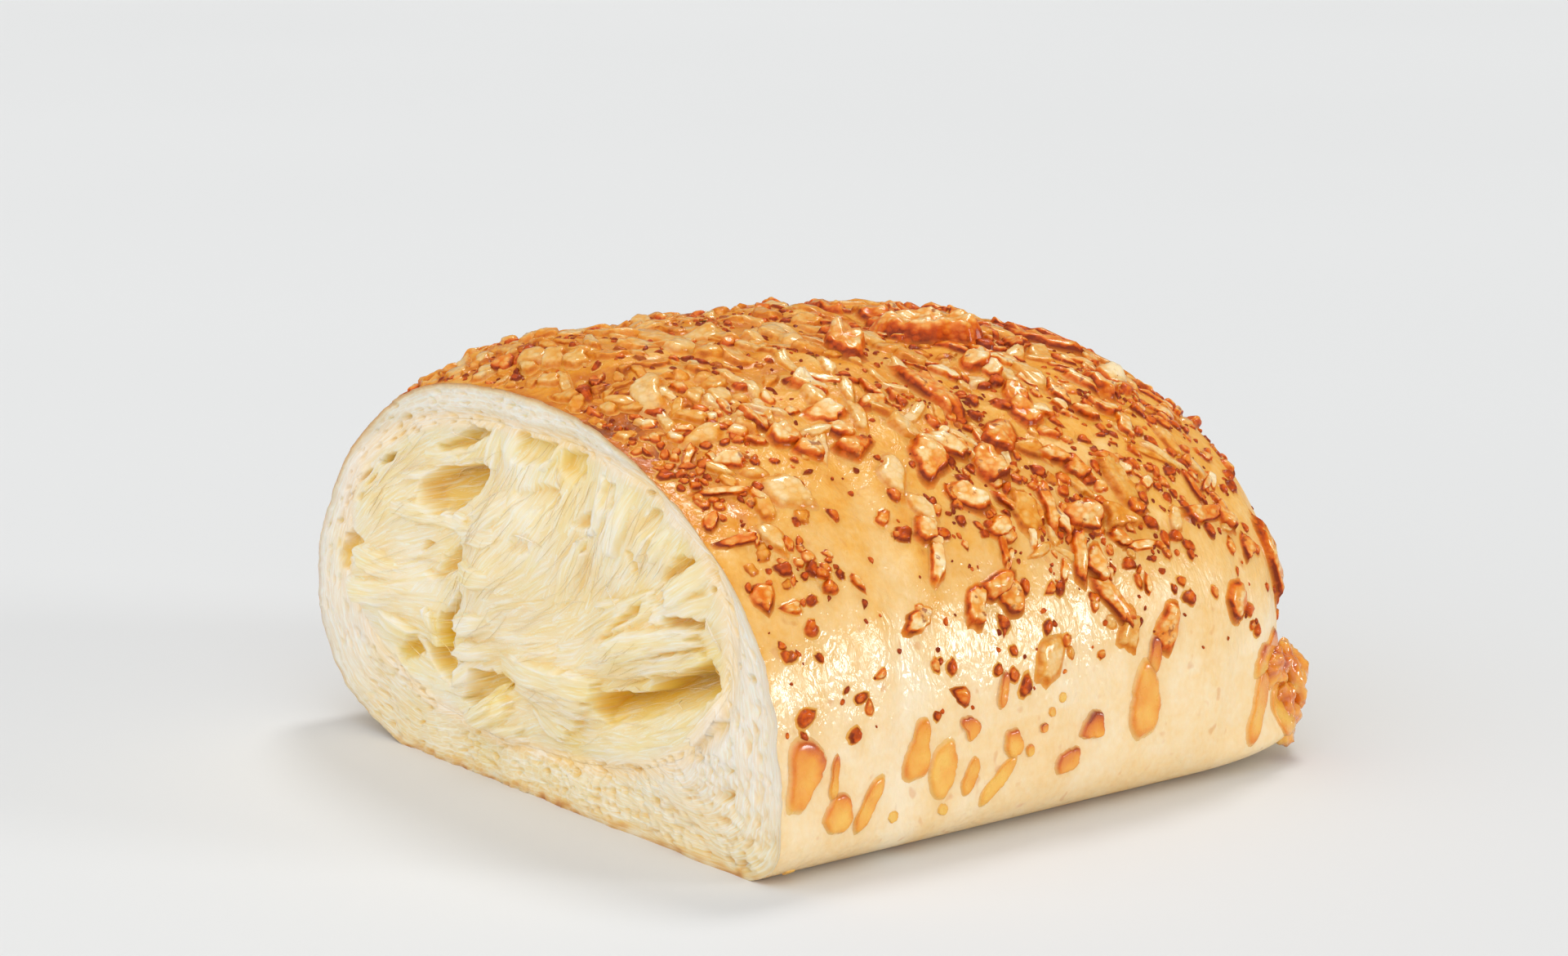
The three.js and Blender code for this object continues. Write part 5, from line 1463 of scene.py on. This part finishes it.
class Look:
    """A material being put together from nodes."""

    def __init__(self, name):
        self.material = bpy.data.materials.new(name)
        self.material.use_nodes = True
        self.tree = self.material.node_tree
        self.tree.nodes.clear()
        self.shader = self.add("ShaderNodeBsdfPrincipled")
        output = self.add("ShaderNodeOutputMaterial")
        self.tree.links.new(self.shader.outputs["BSDF"], output.inputs["Surface"])

    def add(self, kind, inputs=None, **settings):
        node = self.tree.nodes.new(kind)
        for key, value in settings.items():
            setattr(node, key, value)
        for key, value in (inputs or {}).items():
            self.put(node.inputs[key], value)
        return node

    def put(self, socket, value):
        if isinstance(value, bpy.types.NodeSocket):
            self.tree.links.new(value, socket)
        else:
            socket.default_value = value

    def set(self, **values):
        for key, value in values.items():
            self.put(self.shader.inputs[key.replace("_", " ")], value)

    def number(self, name):
        return self.add("ShaderNodeAttribute", attribute_name=name).outputs["Fac"]

    def place(self, stretch=(1, 1, 1), source=None):
        where = source or self.add("ShaderNodeTexCoord").outputs["Object"]
        return self.add("ShaderNodeMapping", {"Vector": where, "Scale": stretch}).outputs["Vector"]

    def noise(self, where, scale, detail=3, roughness=0.5, distortion=0):
        inputs = {"Vector": where, "Scale": scale, "Detail": detail, "Roughness": roughness,
                  "Distortion": distortion}
        return self.add("ShaderNodeTexNoise", inputs).outputs["Fac"]

    def cells(self, where, scale, feature="DISTANCE_TO_EDGE"):
        inputs = {"Vector": where, "Scale": scale}
        return self.add("ShaderNodeTexVoronoi", inputs, feature=feature).outputs["Distance"]

    def math(self, operation, a, b, clamp=False):
        node = self.add("ShaderNodeMath", operation=operation, use_clamp=clamp)
        self.put(node.inputs[0], a)
        self.put(node.inputs[1], b)
        return node.outputs[0]

    def span(self, value, low, high, to_low=0.0, to_high=1.0):
        inputs = {"Value": value, "From Min": low, "From Max": high, "To Min": to_low, "To Max": to_high}
        return self.add("ShaderNodeMapRange", inputs).outputs["Result"]

    def ramp(self, value, stops):
        node = self.add("ShaderNodeValToRGB", {"Fac": value})
        elements = node.color_ramp.elements
        while len(elements) < len(stops):
            elements.new(1)
        for element, (position, shade) in zip(elements, stops):
            element.position = position
            element.color = colour(*shade)
        return node.outputs["Color"]

    def mix(self, share, a, b, blend="MIX"):
        node = self.add("ShaderNodeMix", data_type="RGBA", blend_type=blend)
        self.put(node.inputs["Factor"], share)
        self.put(node.inputs[6], a)
        self.put(node.inputs[7], b)
        return node.outputs[2]

    def bump(self, height, distance, strength=1.0, onto=None):
        inputs = {"Height": height, "Distance": distance, "Strength": strength}
        if onto is not None:
            inputs["Normal"] = onto
        return self.add("ShaderNodeBump", inputs).outputs["Normal"]


# Colours as seen on a screen, 0 to 255: the crust and the cheese from pale to dark, the crumb by its parts
# with painted shade for its grooves, the painted shade that the crumb's colour is multiplied by with depth,
# and what it is multiplied by towards the skin
CRUST_SHADES = [(0.0, (250, 230, 194)), (0.16, (247, 216, 164)), (0.34, (241, 196, 124)),
                (0.5, (236, 175, 82)), (0.64, (229, 149, 38)), (0.8, (202, 106, 20)), (1.0, (120, 48, 14))]
CRUST_FRECKLES = (214, 132, 62)
CHEESE_SHADES = [(0.0, (253, 228, 180)), (0.18, (248, 205, 134)), (0.38, (240, 160, 60)),
                 (0.56, (230, 118, 14)), (0.76, (206, 82, 4)), (1.0, (132, 44, 4))]
CHEESE_SPOTS = (150, 62, 12)
CHEESE_SKIRT = (224, 126, 22)
DROP_SHADES = [(0.0, (246, 190, 84)), (0.35, (240, 160, 50)), (0.6, (230, 132, 26)), (0.85, (202, 92, 16)),
               (1.0, (150, 58, 12))]
DROP_SKIRT = (244, 200, 128)
CRUMB = {"rim": (246, 227, 203), "bottom": (246, 218, 164), "white": (252, 241, 224),
         "cream": (250, 223, 168), "groove_shade": (250, 222, 148), "gold": (255, 211, 54),
         "fibre": (255, 252, 244)}
PAINTED_DEPTH_SHADES = [(0.0, (255, 255, 255)), (0.2, (255, 247, 222)), (0.5, (255, 240, 174)),
                (1.0, (255, 236, 146))]
SKIN_SHADES = [(0.0, (255, 255, 255)), (0.45, (253, 240, 214)), (0.72, (242, 208, 158)),
               (0.9, (214, 156, 98))]
FLOOR_SHADES = [(0.3, (225, 226, 226)), (0.7, (227, 228, 228))]


def crust_look():
    """Thin glazed crust, finely wrinkled, glossy in patches."""
    look = Look("glazed_crust")
    where = look.place()
    mottle = look.span(look.noise(where, 230, 4, 0.6), 0.3, 0.7, -0.06, 0.06)
    grain = look.span(look.noise(where, 1300, 2), 0.3, 0.7, -0.04, 0.04)
    shade = look.math("ADD", look.math("ADD", look.number("bake"), mottle), grain, clamp=True)
    base = look.ramp(shade, CRUST_SHADES)
    freckles = look.span(look.noise(look.place((1, 1, 0.8)), 620, 1), 0.68, 0.76, 0, 0.35)
    base = look.mix(freckles, base, colour(*CRUST_FRECKLES))
    wrinkles = look.cells(look.place((1, 1, 0.62)), 1150)
    folds = look.noise(look.place((1.6, 1.6, 0.7)), 520, 3, 0.6, 0.8)
    height = look.math("ADD", look.math("MULTIPLY", wrinkles, 0.55), folds)
    patches = look.span(look.noise(look.place((1, 1, 0.45)), 380, 4, 0.65), 0.38, 0.6, 0.25, 1)
    gloss = look.math("MULTIPLY", look.number("gloss"), patches)
    look.set(Base_Color=base, Roughness=look.span(look.noise(where, 900, 2), 0.3, 0.7, 0.36, 0.52),
             Specular_IOR_Level=0.14, Coat_Weight=gloss, Coat_Roughness=0.17, Coat_IOR=1.72,
             Subsurface_Weight=0.12, Subsurface_Radius=(0.0018, 0.001, 0.0004), Subsurface_Scale=1.0,
             Normal=look.bump(height, 0.00018, 0.8), Coat_Normal=look.bump(height, 0.0002, 0.8))
    return look.material


def cheese_look(name, rough):
    """Browned cheese, and where it melted, the same glaze as the crust's."""
    look = Look(name)
    where = look.place()
    nodules = look.span(look.cells(look.place((1, 1, 1.3)), 1150, "F1"), 0.1, 0.7, 1, 0)
    mottle = look.span(look.noise(where, 700, 3, 0.65), 0.3, 0.7, -0.1, 0.1)
    # Painted shade: darker in the crevices between the nodules
    crevice_shade = look.span(nodules, 0.1, 0.7, 0.16, -0.02)
    shade = look.math("ADD", look.number("toast"), look.math("ADD", mottle, crevice_shade), clamp=True)
    toasted = look.ramp(shade, CHEESE_SHADES)
    dark = look.span(look.noise(where, 620, 3, 0.6), 0.62, 0.68, 0, 0.75)
    toasted = look.mix(dark, toasted, colour(*CHEESE_SPOTS))
    glaze = look.ramp(look.math("ADD", look.math("MULTIPLY", shade, 0.6), 0.28, clamp=True), CRUST_SHADES)
    base = look.mix(look.math("MULTIPLY", look.number("melted"), 0.8), toasted, glaze)
    skirt = look.number("skirt")
    base = look.mix(look.span(skirt, 0, 0.5, 0, 0.5), base, colour(*CHEESE_SKIRT))
    base = look.mix(look.span(skirt, 0.5, 1), base, colour(*CRUST_SHADES[3][1]))
    crags = look.noise(where, 1500, 4, 0.7)
    relief = look.math("ADD", crags, nodules)
    look.set(Base_Color=base, Roughness=look.span(crags, 0.3, 0.7, rough, rough + 0.22),
             Specular_IOR_Level=0.1, Subsurface_Weight=0.12, Subsurface_Radius=(0.001, 0.0005, 0.0002),
             Subsurface_Scale=1.0, Coat_Weight=look.span(shade, 0.35, 0.75, 0.9, 0.22), Coat_Roughness=0.14,
             Normal=look.bump(relief, 0.0002, 0.7))
    return look.material


def drop_look(name, gloss):
    """Melted cheese, thin and clear at its skirt."""
    look = Look(name)
    where = look.place()
    mottle = look.span(look.noise(where, 500, 3), 0.3, 0.7, -0.12, 0.12)
    base = look.ramp(look.math("ADD", look.number("toast"), mottle), DROP_SHADES)
    base = look.mix(look.math("MULTIPLY", look.number("skirt"), 0.85), base, colour(*DROP_SKIRT))
    bumps = look.noise(where, 800, 3)
    look.set(Base_Color=base, Roughness=look.span(bumps, 0.3, 0.7, 0.2, 0.36), Coat_Weight=gloss,
             Coat_Roughness=0.12, Subsurface_Weight=0.2, Subsurface_Radius=(0.002, 0.001, 0.0003),
             Subsurface_Scale=1.0, Normal=look.bump(bumps, 0.00012, 0.5))
    return look.material


def crumb_look():
    """The cut: dense white crumb in a web of fibres, and the pulled core, soaked with cheese in places."""
    look = Look("crumb")
    strand = look.add("ShaderNodeAttribute", attribute_name="strand").outputs["Vector"]
    fine = look.noise(look.place((1, 0.06, 0.06), strand), 3.6, 4, 0.66, 0.2)
    coarse = look.noise(look.place((1, 0.11, 0.11), strand), 1.2, 3, 0.55, 0.1)
    webs = look.cells(look.place((1, 0.34, 0.34), strand), 1.7)
    core, ridge, gold = look.number("core"), look.number("ridge"), look.number("gold")
    rim_only = look.math("SUBTRACT", 1, core)
    rim = look.mix(look.number("low"), colour(*CRUMB["rim"]), colour(*CRUMB["bottom"]))
    rim = look.mix(look.span(webs, 0.16, 0.03, 0, 0.3), rim, colour(*CRUMB["fibre"]))
    pulled = look.mix(look.number("warm"), colour(*CRUMB["white"]), colour(*CRUMB["cream"]))
    # Painted shade: a deeper yellow laid into the grooves between the fibres
    groove = look.span(look.math("ADD", ridge, coarse), 1.1, 0.7, 0, 0.42)
    pulled = look.mix(groove, pulled, colour(*CRUMB["groove_shade"]))
    base = look.mix(core, rim, pulled)
    # Painted shade: the crumb darkens and turns yellower with the depth of cavities and hollows
    cavity_shade = look.math("MULTIPLY", look.number("cavity_shade"), 0.22)
    deep = look.math("ADD", look.number("deep"), cavity_shade, clamp=True)
    depth = look.math("ADD", deep, look.span(fine, 0.3, 0.7, 0.05, -0.05), clamp=True)
    base = look.mix(1.0, base, look.ramp(depth, PAINTED_DEPTH_SHADES), "MULTIPLY")
    # Cheese-soaked yellow from the gold spots, laid on more strongly where the painted depth shade is deeper
    soaked = look.math("MULTIPLY", gold, look.math("ADD", deep, 0.52), clamp=True)
    base = look.mix(soaked, base, colour(*CRUMB["gold"]))
    pale = look.math("MULTIPLY", look.span(fine, 0.48, 0.66, 0, 0.6), look.span(soaked, 0, 1, 1, 0.35))
    base = look.mix(pale, base, colour(*CRUMB["fibre"]))
    base = look.mix(1.0, base, look.ramp(look.number("skin"), SKIN_SHADES), "MULTIPLY")
    height = look.math("ADD", look.math("ADD", coarse, fine),
                       look.math("MULTIPLY", rim_only, look.span(webs, 0, 0.2, 0.35, 0)))
    look.set(Base_Color=base, Roughness=look.span(fine, 0.3, 0.7, 0.56, 0.34), Specular_IOR_Level=0.5,
             Subsurface_Weight=look.span(look.number("seam"), 0, 0.6, 0.65, 0.0),
             Subsurface_Radius=(0.0045, 0.0036, 0.0026), Subsurface_Scale=1.0,
             Normal=look.bump(height, 0.0001, 0.55))
    return look.material


def floor_look():
    look = Look("pale_floor")
    look.set(Base_Color=look.ramp(look.noise(look.place(), 3, 2), FLOOR_SHADES), Roughness=0.9,
             Specular_IOR_Level=0.1)
    return look.material


# Stage

LIGHTS = {  # heading in degrees from the camera's right, height in degrees, angular size, strength
    "key": {"from_right": 14, "height": 13, "angle": 16, "strength": 1.0},
    "fill": {"from_right": 122, "height": 40, "angle": 110, "strength": 2.02},
    "top": {"from_right": -70, "height": 64, "angle": 16, "strength": 0.86},
}
WORLD = {"grey": 0.32, "strength": 1.0}
FLOOR_RADIUS = 3.0


def make_stage():
    bpy.ops.mesh.primitive_circle_add(vertices=96, radius=FLOOR_RADIUS, fill_type="NGON")
    floor = bpy.context.object
    floor.name = "floor"
    floor.data.materials.append(floor_look())
    world = bpy.data.worlds.new("studio")
    world.use_nodes = True
    background = world.node_tree.nodes["Background"]
    background.inputs["Color"].default_value = (WORLD["grey"],) * 3 + (1,)
    background.inputs["Strength"].default_value = WORLD["strength"]
    bpy.context.scene.world = world


def make_camera():
    data = bpy.data.cameras.new("camera")
    data.lens, data.sensor_width = CAMERA["lens"], CAMERA["sensor"]
    data.clip_start, data.clip_end = CAMERA["clip"]
    camera = bpy.data.objects.new("camera", data)
    bpy.context.scene.collection.objects.link(camera)
    heading, down = math.radians(CAMERA["heading"]), math.radians(CAMERA["down"])
    camera.location = Vector(np.array(CAMERA["at"]) - SHIFT) / METRE
    camera.rotation_euler = (math.pi / 2 - down, 0, heading)
    bpy.context.scene.camera = camera


def make_lights():
    heading = math.radians(CAMERA["heading"])
    for name, plan in LIGHTS.items():
        data = bpy.data.lights.new(name, "SUN")
        data.angle, data.energy = math.radians(plan["angle"]), plan["strength"]
        lamp = bpy.data.objects.new(name, data)
        bpy.context.scene.collection.objects.link(lamp)
        turn = heading - math.radians(plan["from_right"])
        up = math.radians(plan["height"])
        towards = Vector((math.cos(turn) * math.cos(up), math.sin(turn) * math.cos(up), math.sin(up)))
        lamp.rotation_euler = (-towards).to_track_quat("-Z", "Y").to_euler()


def paint(piece, material):
    piece.data.materials.append(material)


def make_cheese():
    rng = np.random.default_rng(FINE_SEED + 2)
    strewn, spots, halves = strewn_as_solids()
    fine = strew_fine(spots, halves, rng)
    strewn = broken_up(PLACED_FLAKES + strewn, rng)
    flake, bead = cheese_look("toasted_cheese", 0.42), cheese_look("browned_cheese", 0.26)
    looks = {"beads": bead, "granules": bead}
    for kind in KINDS:
        own = [piece for piece in strewn if kind_of(piece) == kind]
        paint(make_flakes("cheese_" + kind, own + fine.get(kind, []), kind, rng), looks.get(kind, flake))
    paint(make_drips(rng), drop_look("melted_cheese", 0.3))
    paint(make_lump(), drop_look("browned_lump", 0.8))
    return spots, halves


def main():
    bpy.context.scene.view_settings.view_transform = "Standard"
    make_camera()
    make_stage()
    make_lights()
    spots, halves = make_cheese()
    paint(make_crust(spots, halves), crust_look())
    face = make_face()
    crumb = crumb_look()
    paint(make_rim(face), crumb)
    paint(make_filling(face), crumb)
    paint(make_strands(face), crumb)


main()
